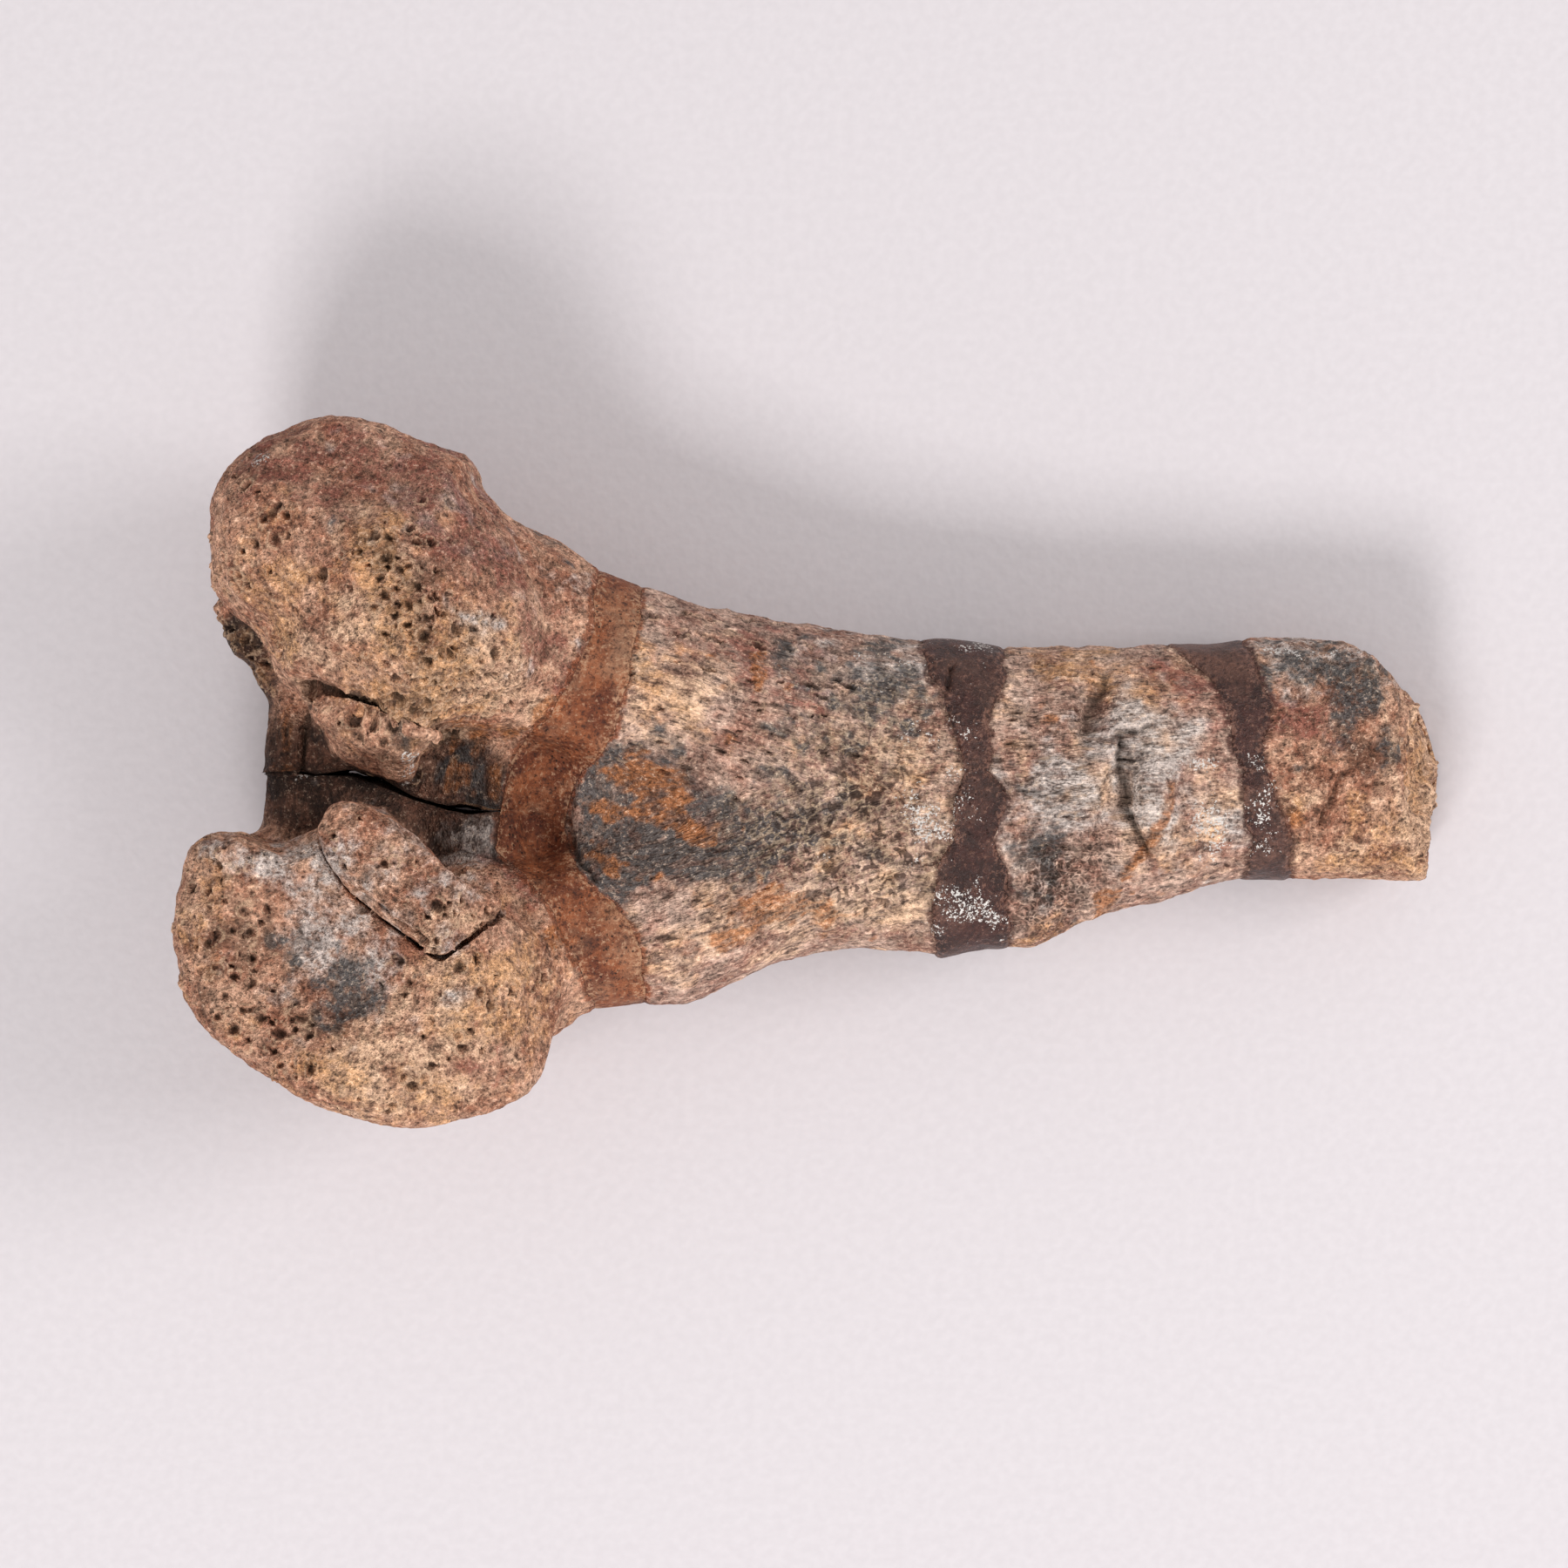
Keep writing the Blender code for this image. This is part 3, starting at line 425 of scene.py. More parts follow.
def bowls(points, size, density, seed):
    """Pits from 0 to 1 deep, their rims down to -0.35, in each cell whose number is under the density.

    Depth over share of the radius q: (1 - q^2)^0.7, less 0.35 * exp(-((q - 1.2) / 0.2)^2) for the rim.
    """
    shifts = [cloud(points, 0.55 * size, seed + 5 + axis) for axis in range(3)]
    bent = points + 0.16 * size * np.stack(shifts, axis=1)
    near, _, number = cells(bent, size, seed)
    radius = 0.24 + 0.26 * hashed(np.floor(number[:, None] * 4096) + np.arange(3), seed)
    share = near / radius
    rim = 0.35 * np.exp(-(((share - 1.2) / 0.2) ** 2))
    return np.where(number < density, np.clip(1 - share**2, 0, 1) ** 0.7 - rim, 0)


def honeycomb(points, size, seed):
    """Open pores from 0 to 1 deep, thin walls between: rises with the gap between the two nearest seeds."""
    near, next_near, _ = cells(points, size, seed)
    return rise(0.08, 0.42, next_near - near)


def masked(work, points, mask, *rest):
    """A slow pattern worked out only where its mask counts."""
    found = np.zeros(len(points))
    some = mask > 0.03
    if some.any():
        found[some] = work(points[some], *(r[some] if isinstance(r, np.ndarray) else r for r in rest))
    return found


def deeper(first, second):
    """Of two patterns, the deeper opening, or the rim where neither is open."""
    return np.where(np.maximum(first, second) > 0, np.maximum(first, second), np.minimum(first, second))


def openings(points, seen, upward):
    """How open the bone is at each point, from 0 to 1, and down to -0.35 on rims, from the tables above."""
    broken = 0.7 + 0.7 * fractal(points, 4.0, 40, 2)
    filled = np.maximum.reduce([between(points, name, 0.3) for name in FILLINGS])
    upward = upward * (1 - filled) * broken
    wide = spots(seen, PITTED, PATCH_FALL) * upward
    sponge = spots(seen, SPONGE, PATCH_FALL) * upward
    pits = masked(bowls, points, wide, 1.9, 1.1 * wide, 50)
    pits = deeper(pits, masked(bowls, points, wide, 1.2, 0.95 * wide, 64))
    pits = deeper(pits, 0.6 * masked(honeycomb, points, sponge, 0.85, 58) * rise(0.35, 0.75, sponge))
    for rows, degrees, stretch, seed, depth in PORE_RUNS:
        mask = spots(seen, rows, PATCH_FALL) * upward
        drawn_out = masked(bowls, turned(points, degrees, stretch), mask, PORE_SIZE, 0.7 * mask, seed)
        pits = deeper(pits, depth * drawn_out)
    return pits


def crumbs(points, size, seed, octaves=3):
    """Little crests from about -1 to 1: clouds folded at their middle, each finer one turned and weaker."""
    total, reach = 0.0, 0.62
    for step in range(octaves):
        total = total + reach * (0.8 - 3.0 * np.abs(cloud(points, size, seed + step)))
        points, size, reach = points @ TURN, size * 0.5, reach * 0.6
    return total


def roughness(points, bone):
    """Small hills and hollows in millimetres: clouds of 2.4 and crests of 1.5 mm, less on the putties."""
    hills = (0.2 * bone + 0.12) * fractal(points, 2.4, 20, 3)
    return hills + (0.16 * bone + 0.04) * crumbs(points, 1.5, 24, 2)


def waved(points, seen):
    """Plan places shifted a little by clouds, so that lines drawn there come out natural."""
    fine = np.stack((cloud(points, 1.4, 80), cloud(points, 1.4, 81)), axis=1)
    broad = np.stack((cloud(points, 4.5, 82), cloud(points, 4.5, 83)), axis=1)
    return seen + 0.3 * fine + 0.5 * broad


def relief(points, facing):
    """How far each point of the skin is raised, in millimetres, by clouds and by the tables above."""
    seen = plan(points)
    upward = rise(0.0, 0.45, facing[:, 2])
    putty = between(points, "fork_putty", 0.5)
    bands = np.maximum(between(points, "band_inner", 0.5), between(points, "band_outer", 0.5))
    bone = 1 - np.maximum(putty, bands)
    walls = inner_walls(points, facing)
    side = np.maximum(1 - upward, walls)
    height = 0.5 * fractal(points, 8.0, 10, 3) - 0.35 + (1 - 0.5 * side) * roughness(points, bone)
    chips = rise(0.0, 0.5, fractal(points, 7.0, 37, 2))
    rubble = 0.55 * fractal(points * (0.6, 1, 1), 3.6, 30, 3) + 0.08 * chips * crumbs(points, 2.6, 34, 2)
    height += side * bone * rubble
    height += walls * 0.8 * fractal(points, 6.5, 130, 2)
    for x, y, reach_x, reach_y, turn, raised in SWELLINGS:
        height += raised * upward * spots(seen, ((x, y, reach_x, reach_y, turn, 1.0),))
    waver = waved(points, seen)
    for half, depth, line in GROOVES:
        height -= depth * upward * np.exp(-((from_line(waver, line) / half) ** 2))
    for line in (ORANGE_RIDGE, END_RIM):
        height += RIDGE_HEIGHT * upward * np.exp(-((from_line(waver, line) / RIDGE_HALF) ** 2))
    grains = spots(seen, GRANULAR, PATCH_FALL) * upward * bone
    height += grains * 0.3 * crumbs(points, 1.7, 60, 2)
    height += bands * (0.22 + 0.12 * fractal(points, 2.2, 90, 2)) - putty * 0.18
    for joint in JOINTS:
        height -= JOINT_DEPTH * np.exp(-((joint_gap(points, joint) / JOINT_HALF) ** 2))
    height += end_steps(points, facing)
    return height - PIT_DEPTH * openings(points, seen, upward)


def end_steps(points, facing):
    """Slivers of the broken end: clouds drawn out upwards and cut to levels, on what faces +X at the tip."""
    outer = rise(0.2, 0.6, facing[:, 0]) * rise(62, 64, points[:, 0])
    stepped = fractal(points * (1, 1, 0.35), 3.2, 110, 3)
    levels = np.floor(stepped * 4) / 4 + 0.25 * rise(0.6, 1, stepped * 4 % 1)
    return outer * (2.0 * levels - 0.8)


def stains(points, facing):
    """The amount of each stain at each point, from 0 to 1, in ragged patches, with a few on hidden sides."""
    seen = plan(points)
    upward = rise(-0.15, 0.35, facing[:, 2])
    found = {}
    for order, (name, rows) in enumerate(STAINS.items()):
        size, soft, elsewhere = STAIN_GRAIN[name]
        ragged = fractal(points, size, 200 + 10 * order, 4)
        own = spots(seen, rows, PATCH_FALL) * upward
        if name == "rust":
            own = np.maximum(own, 0.62 * upward * np.exp(-((from_line(seen, ORANGE_RIDGE) / 1.1) ** 2)))
        if name == "cream":
            own = np.maximum(own, 0.7 * upward * np.exp(-((from_line(seen, END_RIM) / 1.0) ** 2)))
        broad = rise(-0.2, 0.5, fractal(points, 13.0, 205 + 10 * order, 2))
        hidden = (1 - upward) * elsewhere * broad * 1.6
        found[name] = rise(0.5 - soft, 0.5 + soft, own + hidden + 0.85 * ragged * (own + hidden > 0.04))
    return found


def inner_walls(points, facing):
    """1 on the inner walls between the heads, which lie lower than the facets. The materials paint them dark:
    their plum colour together with painted shade, fading in below the facets' level.
    """
    seen = plan(points)
    gap = spots(seen, ((-52, -1, 17, 9, 0, 1.0), (-66, 12, 5, 7, 0, 1.0), (-40, -6, 8, 7, 0, 1.0)))
    ragged = 1.2 * cloud(points, 2.5, 300)
    return rise(0.25, 0.5, gap) * rise(29.8, 27.2, points[:, 2] + ragged) * rise(-34.5, -37, points[:, 0])


def read_points(mesh, what="co"):
    """A mesh's points or normals as rows, points in millimetres."""
    numbers = np.empty(len(mesh.vertices) * 3)
    if what == "co":
        mesh.vertices.foreach_get("co", numbers)
        return numbers.reshape(-1, 3) / MM
    mesh.vertex_normals.foreach_get("vector", numbers)
    return numbers.reshape(-1, 3)


def write_points(mesh, points):
    """Moves a mesh's points to places in millimetres."""
    mesh.vertices.foreach_set("co", (points * MM).ravel())
    mesh.update()


def write_attribute(mesh, name, values, kind="FLOAT"):
    """Keeps a number or a place for each point, for the materials to read."""
    layer = mesh.attributes.get(name) or mesh.attributes.new(name, kind, "POINT")
    layer.data.foreach_set("value" if kind == "FLOAT" else "vector", values.astype(np.float32).ravel())


def new_object(name, mesh):
    """A new object of the scene, at the origin."""
    made = bpy.data.objects.new(name, mesh)
    bpy.context.scene.collection.objects.link(made)
    return made


def joined_copy(name, nodes):
    """Copies of the nodes' meshes in one object, each merged to a closed body."""
    bm = bmesh.new()
    for node in nodes:
        bm.from_mesh(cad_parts[node].data)
    bmesh.ops.remove_doubles(bm, verts=bm.verts, dist=1e-6)
    mesh = bpy.data.meshes.new(name)
    bm.to_mesh(mesh)
    bm.free()
    return new_object(name, mesh)


def applied(body):
    """The mesh as its modifiers leave it."""
    graph = bpy.context.evaluated_depsgraph_get()
    finished = bpy.data.meshes.new_from_object(body.evaluated_get(graph))
    body.modifiers.clear()
    return finished


def swell(body, name, millimetres):
    """Pushes a body's surface out by so much, or in where it is less than 0."""
    push = body.modifiers.new(name, "DISPLACE")
    push.mid_level = 0.0
    push.strength = millimetres * MM


def even_skin(body, voxel, rounds, grow, shrink):
    """One even closed skin: swollen so that near bodies meet, remeshed, smoothed and drawn back."""
    swell(body, "Swell", grow)
    remesh = body.modifiers.new("Skin", "REMESH")
    remesh.mode = "VOXEL"
    remesh.voxel_size = voxel * MM
    smooth = body.modifiers.new("Smooth", "SMOOTH")
    smooth.iterations = rounds
    swell(body, "Draw back", -shrink)
    body.data = applied(body)


def closed_cleft(points):
    """The points with the cleft's walls drawn together: a distance d to its middle becomes 5 (d / 5)^p.

    p is 1 at the cleft's ends and above its walls. Between them it is 3.2 high up and 3.9 lower down, and
    1.9 high up in the dark hole.
    """
    middle = np.interp(points[:, 0] + PLAN_SHIFT, *np.array(CLEFT, float).T)
    gap = points[:, 1] - middle
    ends = rise(-68, -62, points[:, 0]) * rise(-33.5, -36.5, points[:, 0]) * rise(34, 28, points[:, 2])
    hole = np.exp(-(((points[:, 0] + 41.3) / 2.6) ** 2)) * rise(13, 19, points[:, 2])
    power = 1 + ends * (2.2 + 0.7 * rise(20, 14, points[:, 2]) - 1.3 * hole)
    drawn = np.where(np.abs(gap) < PULL, PULL * (np.abs(gap) / PULL) ** power, np.abs(gap))
    moved = points.copy()
    moved[:, 1] = middle + np.sign(gap) * drawn
    return moved


def carve(body):
    """Raises the skin by its relief within the solids' box, and notes where each point was before.

    The cleft's walls are only ever lowered, so that they don't run through each other.
    """
    mesh = body.data
    points, facing = read_points(mesh), read_points(mesh, "normal")
    write_attribute(mesh, "before", points, "FLOAT_VECTOR")
    low, high = (np.array(corner) / MM for corner in cad_box)
    raised = relief(points, facing)
    gap = np.abs(points[:, 1] - np.interp(points[:, 0] + PLAN_SHIFT, *np.array(CLEFT, float).T))
    tight = rise(4.2, 2.6, gap) * (points[:, 0] < -30)
    raised = raised - tight * np.maximum(raised, 0)
    write_points(mesh, np.clip(closed_cleft(points) + facing * raised[:, None], low, high))


def block(name, low, high, across, up, axis):
    """A closed block: two sheets over the grid across x up, at low and high on an axis, and four rims."""
    grid = np.meshgrid(across, up, indexing="ij")
    sheets = [np.stack(grid[:axis] + [place] + grid[axis:], axis=-1) for place in (low, high)]
    index = np.arange(low.size).reshape(low.shape)
    faces = np.stack((index[:-1, :-1], index[1:, :-1], index[1:, 1:], index[:-1, 1:]), axis=-1)
    faces = faces.reshape(-1, 4)
    edge = np.concatenate((index[:-1, 0], index[-1, :-1], index[:0:-1, -1], index[0, :0:-1]))
    rims = np.stack((edge, np.roll(edge, -1), np.roll(edge, -1) + low.size, edge + low.size), axis=-1)
    mesh = bpy.data.meshes.new(name)
    corners = np.stack(sheets).reshape(-1, 3) * MM
    quads = np.concatenate((faces, faces[:, ::-1] + low.size, rims))
    mesh.from_pydata(corners.tolist(), [], quads.tolist())
    bm = bmesh.new()
    bm.from_mesh(mesh)
    bmesh.ops.recalc_face_normals(bm, faces=bm.faces)
    bm.to_mesh(mesh)
    bm.free()
    return new_object(name, mesh)


def part_between(name, skin, left, right):
    """What of the skin lies between two ragged joints, or beyond one."""
    grid = np.meshgrid(SIDE_GRID, RISE_GRID, indexing="ij")
    walls = []
    for joint, far in ((left, -SIDE), (right, SIDE)):
        if joint is None:
            walls.append(np.full(grid[0].shape, far))
        else:
            line, seed = JOINTS[joint]
            walls.append(wall(line, *grid, seed))
    return within(name, skin, block(name + "_block", *walls, SIDE_GRID, RISE_GRID, 0))


def head_part(name, heads, side):
    """One of the two heads: what lies on its side of the cleft's middle."""
    along = np.arange(-SIDE, 0, 1.0)
    up = np.arange(-6, 60, 6.0)
    middle = cleft_wall(*np.meshgrid(along, up, indexing="ij"))
    far = np.full(middle.shape, 60.0 * side)
    walls = (middle, far) if side > 0 else (far, middle)
    return within(name, heads, block(name + "_block", *walls, along, up, 1))


def within(name, body, room):
    """A new object with what of the body lies within the room, which is removed."""
    piece = new_object(name, body.data.copy())
    cut = piece.modifiers.new("Part", "BOOLEAN")
    cut.operation = "INTERSECT"
    cut.solver = "MANIFOLD"
    cut.object = room
    piece.data = applied(piece)
    bpy.data.objects.remove(room)
    return piece


def main_body(mesh):
    """Drops crumbs that came loose in the parting: each point takes the lowest number it is joined to."""
    edges = np.empty(len(mesh.edges) * 2, np.int64)
    mesh.edges.foreach_get("vertices", edges)
    a, b = edges.reshape(-1, 2).T
    group = np.arange(len(mesh.vertices))
    while True:
        before = group.copy()
        low = np.minimum(group[a], group[b])
        np.minimum.at(group, a, low)
        np.minimum.at(group, b, low)
        group = group[group]
        if (group == before).all():
            break
    loose = group != np.bincount(group).argmax()
    if loose.any():
        bm = bmesh.new()
        bm.from_mesh(mesh)
        bm.verts.ensure_lookup_table()
        bmesh.ops.delete(bm, geom=[bm.verts[i] for i in np.flatnonzero(loose)], context="VERTS")
        bm.to_mesh(mesh)
        bm.free()


def grain_flow(points):
    """Where the bone's fibres put each point: shortened along them, so that patterns come out drawn out.

    On the shaft's root they run to its middle line from both sides at a slope, and level beyond.
    Both the length along them and their drift are sums of small steps, so that nothing jumps.
    """
    steps = np.arange(-80.0, 80.0, 0.5)
    shaft = rise(-26, -16, steps)
    along = np.cumsum(0.5 / (1 + FIBRE_STRETCH * shaft * rise(56, 48, steps)))
    drift = np.cumsum(0.5 * FIBRE_SLOPE * shaft * rise(16, 2, steps))
    x, y = points[:, 0], points[:, 1]
    across = np.abs(y + 2) + np.interp(x, steps, drift)
    return np.stack((np.interp(x, steps, along), across, points[:, 2]), axis=1)


def smears(points, names):
    """1 on the joints of the pieces named, fading to 0 some 1.5 mm away and breaking up on the way."""
    nearest = np.full(len(points), 99.0)
    for name in names:
        for joint in PIECES[name]:
            nearest = np.minimum(nearest, np.abs(joint_gap(points, joint)))
    broken = 0.4 * fractal(points, 1.6, 400, 3) * (nearest < 2.5)
    return np.clip(np.exp(-((nearest / 0.9) ** 2)) + broken, 0, 1)


def cracks(points, seen, upward):
    """How deep in a groove each point is, from 0 to 1: 0.7 times as wide as the groove itself."""
    waver = waved(points, seen)
    found = np.zeros(len(points))
    for half, depth, line in GROOVES:
        across = from_line(waver, line) / half / 0.7
        found = np.maximum(found, min(1, depth) * np.exp(-(across**2)) * upward)
    return found


def places_before(mesh):
    """Where each point was before its relief. A point that the parting made is where it is now."""
    points = read_points(mesh)
    before = np.empty(len(points) * 3, np.float32)
    mesh.attributes["before"].data.foreach_get("vector", before)
    mesh.attributes.remove(mesh.attributes["before"])
    before = before.reshape(-1, 3).astype(float)
    fresh = np.abs(before).max(axis=1) < 1e-6
    before[fresh] = points[fresh]
    return before


def write_masks(mesh):
    """Writes the stains, openings, cracks and flow that the materials read."""
    facing = read_points(mesh, "normal")
    before = places_before(mesh)
    seen = plan(before)
    upward = rise(0.0, 0.45, facing[:, 2])
    for name, values in stains(before, facing).items():
        write_attribute(mesh, name, values)
    # Where the low inner walls get their plum colour and painted shade
    write_attribute(mesh, "plum_and_shade", inner_walls(before, facing))
    write_attribute(mesh, "open", openings(before, seen, upward))
    write_attribute(mesh, "crack", cracks(before, seen, upward))
    # The small hills' height, which makes the colour lighter on their crests and darker in their hollows
    write_attribute(mesh, "high", roughness(before, 1.0) / 0.3)
    for name, rows in (("sponge", SPONGE), ("grains", GRANULAR), ("level", LEVEL_FIBRES)):
        write_attribute(mesh, name, spots(seen, rows, PATCH_FALL) * upward)
    write_attribute(mesh, "long", spots(seen, LONG_PORES + LOW_FIBRES, PATCH_FALL) * upward)
    write_attribute(mesh, "orange_smear", smears(before, FILLINGS[:1]))
    write_attribute(mesh, "maroon_smear", smears(before, FILLINGS[1:]))
    write_attribute(mesh, "flow", grain_flow(before) * MM, "FLOAT_VECTOR")


def finish_piece(piece, node, material, slot):
    """Gives a piece its masks and its material, and sets it in its node's place."""
    mesh = piece.data
    main_body(mesh)
    write_masks(mesh)
    mesh.shade_smooth()
    mesh.set_sharp_from_angle(angle=math.radians(SHARP_ANGLE))
    mesh.materials.clear()
    mesh.materials.append(material)
    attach(piece, "root")
    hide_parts(node)


def linear(text):
    """An sRGB hex colour as linear red, green, blue and alpha."""
    parts = [int(text[i:i + 2], 16) / 255 for i in (1, 3, 5)]
    return [p / 12.92 if p <= 0.04045 else ((p + 0.055) / 1.055) ** 2.4 for p in parts] + [1.0]


def add(tree, kind, inputs=None, out=0, **settings):
    """Adds a node and gives one of its outputs. An input is a number, a link or a colour as sRGB hex."""
    made = tree.nodes.new(kind)
    for name, value in settings.items():
        setattr(made, name, value)
    for socket, value in (inputs or {}).items():
        if isinstance(value, bpy.types.NodeSocket):
            tree.links.new(value, made.inputs[socket])
        else:
            made.inputs[socket].default_value = linear(value) if isinstance(value, str) else value
    return made.outputs[out] if made.outputs else made


def per_mm(size):
    """A texture's scale for features of a size in millimetres."""
    return 1 / (size * MM)


def coats(tree, colour, rows):
    """Lays coats over a colour. A row is a value, where it starts and is full, the most of it, its colour."""
    for value, starts, full, most, shade in rows:
        reach = {"Value": value, "From Min": starts, "From Max": full, "To Max": most}
        share = add(tree, "ShaderNodeMapRange", reach)
        colour = add(tree, "ShaderNodeMix", {0: share, 6: colour, 7: shade}, 2, data_type="RGBA")
    return colour


def deepest(tree, rows):
    """The deepest of several openings. A row is a pattern, where it is shut and where open, and its mask."""
    found = 0.0
    for pattern, shut, wide, mask in rows:
        depth = add(tree, "ShaderNodeMapRange", {"Value": pattern, "From Min": shut, "From Max": wide})
        depth = add(tree, "ShaderNodeMath", {0: depth, 1: mask}, operation="MULTIPLY")
        found = add(tree, "ShaderNodeMath", {0: found, 1: depth}, operation="MAXIMUM")
    return found


def finished(name, work):
    """A new material from the colour, relief, its depth in mm, roughness and gloss that the work returns."""
    made = bpy.data.materials.new(name)
    made.use_nodes = True
    tree = made.node_tree
    tree.nodes.clear()
    colour, height, depth, roughness, gloss = work(tree)
    normal = add(tree, "ShaderNodeBump", {"Strength": 1.0, "Distance": depth * MM, "Height": height})
    surface = add(tree, "ShaderNodeBsdfPrincipled", {
        "Base Color": colour, "Normal": normal, "Roughness": roughness, "Specular IOR Level": gloss,
    })
    add(tree, "ShaderNodeOutputMaterial", {"Surface": surface})
    return made


GRIT_TONE = 3.0  # how strongly the grit and the sand lighten and darken the bone
SAND_TONE = 2.5
BONE_TONE = 1.03
STAIN_COLOURS = (
    ("cream", "#E2BA9A", 0.85), ("ochre", "#CA9668", 0.75), ("ash", "#C0B3AC", 0.9),
    ("wine", "#8A5044", 0.8), ("slate", "#54504F", 0.95), ("rust", "#A8683C", 0.8), ("soot", "#4A3426", 0.6),
)
SHADOWED = "#2E2017"  # the brown of cracks and pits


def fossil_bone(name, deep, pale):
    """Fossil bone: mineral-stained, matt, cracked and pitted by weather, with broken colour at all sizes."""
    def worked(tree):
        place = add(tree, "ShaderNodeTexCoord", out="Object")
        flow = add(tree, "ShaderNodeAttribute", out="Vector", attribute_name="flow")
        long_flow = add(tree, "ShaderNodeMapping", {"Vector": flow, "Scale": (0.5, 1.0, 1.0)})
        amounts = ["open", "crack", "high", "sponge", "grains", "long", "level", "chalk", "plum_and_shade"]
        amounts += ["orange_smear", "maroon_smear"] + [stain for stain, _, _ in STAIN_COLOURS]
        mask = {key: add(tree, "ShaderNodeAttribute", out="Fac", attribute_name=key) for key in amounts}
        noise = {}
        # Coordinates, size in millimetres, detail, roughness and distortion. The real grain is under 0.3 mm,
        # too fine to show, so the sand that stands for it is drawn at 0.55 mm.
        for key, where, size, detail, rough, bend in (
            ("mottle", place, 6.0, 4.0, 0.78, 0.0), ("sand", place, 0.55, 3.0, 0.8, 0.0),
            ("grit", flow, 1.1, 3.0, 0.75, 0.0), ("fibre", flow, 0.7, 2.0, 0.65, 0.0),
            ("split", long_flow, 1.0, 2.0, 0.6, 0.0), ("worm", place, 1.7, 2.0, 0.65, 0.5),
            ("fleck", place, 0.4, 2.0, 0.75, 0.0),
        ):
            noise[key] = add(tree, "ShaderNodeTexNoise", {
                "Vector": where, "Scale": per_mm(size), "Detail": detail, "Roughness": rough,
                "Distortion": bend,
            })
        for key in ("fibre", "split", "worm"):  # folded at its middle: 0 along winding lines
            off = add(tree, "ShaderNodeMath", {0: noise[key], 1: 0.5}, operation="SUBTRACT")
            noise[key] = add(tree, "ShaderNodeMath", {0: off}, operation="ABSOLUTE")
        shift = {"Vector": place, "Scale": per_mm(1.5), "Detail": 0.0}
        shift = add(tree, "ShaderNodeTexNoise", shift, "Color")
        bent = {0: shift, 1: (1.6 * MM,) * 3, 2: place}
        bent = add(tree, "ShaderNodeVectorMath", bent, operation="MULTIPLY_ADD")
        walls = {"Vector": bent, "Scale": per_mm(0.75)}
        walls = add(tree, "ShaderNodeTexVoronoi", walls, feature="DISTANCE_TO_EDGE")
        dashes = add(tree, "ShaderNodeTexVoronoi", {"Vector": long_flow, "Scale": per_mm(0.62)})
        hollow = deepest(tree, (
            (noise["fibre"], 0.0, 0.3, 1.0), (walls, 0.06, 0.2, mask["sponge"]),
            (dashes, 0.3, 0.2, mask["long"]), (noise["worm"], 0.08, 0.14, mask["grains"]),
            (noise["split"], 0.04, 0.005, mask["level"]),
        ))

        # The inner walls' dark plum colour, which also stands for painted shade on these low walls between
        # the heads
        inner = coats(tree, "#33251F", ((noise["mottle"], 0.42, 0.62, 1.0, "#7A4E3C"),))
        colour = coats(tree, deep, (
            (noise["mottle"], 0.4, 0.6, 1.0, pale), (mask["plum_and_shade"], 0.0, 1.0, 0.95, inner),
        ))
        # Stains broken up by the grit, then putty smeared over the edges of the joints
        broken = {"Value": noise["grit"], "From Min": 0.38, "From Max": 0.6, "To Min": 0.4}
        broken = add(tree, "ShaderNodeMapRange", broken)
        for stain, shade, most in STAIN_COLOURS:
            amount = add(tree, "ShaderNodeMath", {0: mask[stain], 1: broken}, operation="MULTIPLY")
            colour = coats(tree, colour, ((amount, 0.16, 0.76, most, shade),))
        for smear, shade in (("orange_smear", "#8A4C30"), ("maroon_smear", "#56332C")):
            amount = {0: noise["grit"], 1: 1.6, 2: mask[smear]}
            amount = add(tree, "ShaderNodeMath", amount, operation="MULTIPLY_ADD")
            colour = coats(tree, colour, ((amount, 1.35, 1.75, 0.85, shade),))
        # Pale winding walls round the grains, light and dark sand, and the tone of the whole, lighter on the
        # crests of the small hills and darker in their hollows
        worms = deepest(tree, ((noise["worm"], 0.06, 0.03, mask["grains"]),))
        colour = coats(tree, colour, (
            (worms, 0.0, 1.0, 0.38, "#E4C4A2"), (noise["sand"], 0.57, 0.64, 0.28, "#F6D8BE"),
            (noise["sand"], 0.43, 0.36, 0.5, "#4A2F24"),
        ))
        tone = BONE_TONE - 0.5 * (GRIT_TONE + SAND_TONE)
        for value, much in ((noise["grit"], GRIT_TONE), (noise["sand"], SAND_TONE), (mask["high"], 0.14)):
            tone = add(tree, "ShaderNodeMath", {0: value, 1: much, 2: tone}, operation="MULTIPLY_ADD")
        tone = add(tree, "ShaderNodeMath", {0: tone, 1: 0.3}, operation="MAXIMUM")
        toned = {0: 1.0, 6: colour, 7: tone}
        colour = add(tree, "ShaderNodeMix", toned, 2, data_type="RGBA", blend_type="MULTIPLY")
        # Painted shade on the low inner walls, dark depths, pale rims of pits, cracks, and white crumbs of
        # filler on top
        chalk = {0: mask["chalk"], 1: 0.27, 2: noise["fleck"]}
        chalk = add(tree, "ShaderNodeMath", chalk, operation="MULTIPLY_ADD")
        colour = coats(tree, colour, (
            (mask["plum_and_shade"], 0.0, 1.0, 0.4, "#2A1F1B"), (hollow, 0.25, 1.0, 0.86, "#33231A"),
            (mask["open"], -0.05, -0.3, 0.5, "#E8C09E"), (mask["open"], 0.1, 0.8, 0.76, SHADOWED),
            (mask["crack"], 0.0, 1.0, 0.86, SHADOWED), (chalk, 0.77, 0.84, 1.0, "#E6DDD6"),
        ))
        height = {0: noise["sand"], 1: 0.7, 2: noise["grit"]}
        height = add(tree, "ShaderNodeMath", height, operation="MULTIPLY_ADD")
        height = {0: noise["fibre"], 1: -2.4, 2: height}
        height = add(tree, "ShaderNodeMath", height, operation="MULTIPLY_ADD")
        return colour, height, 0.5, 0.82, 0.3
    return finished(name, worked)


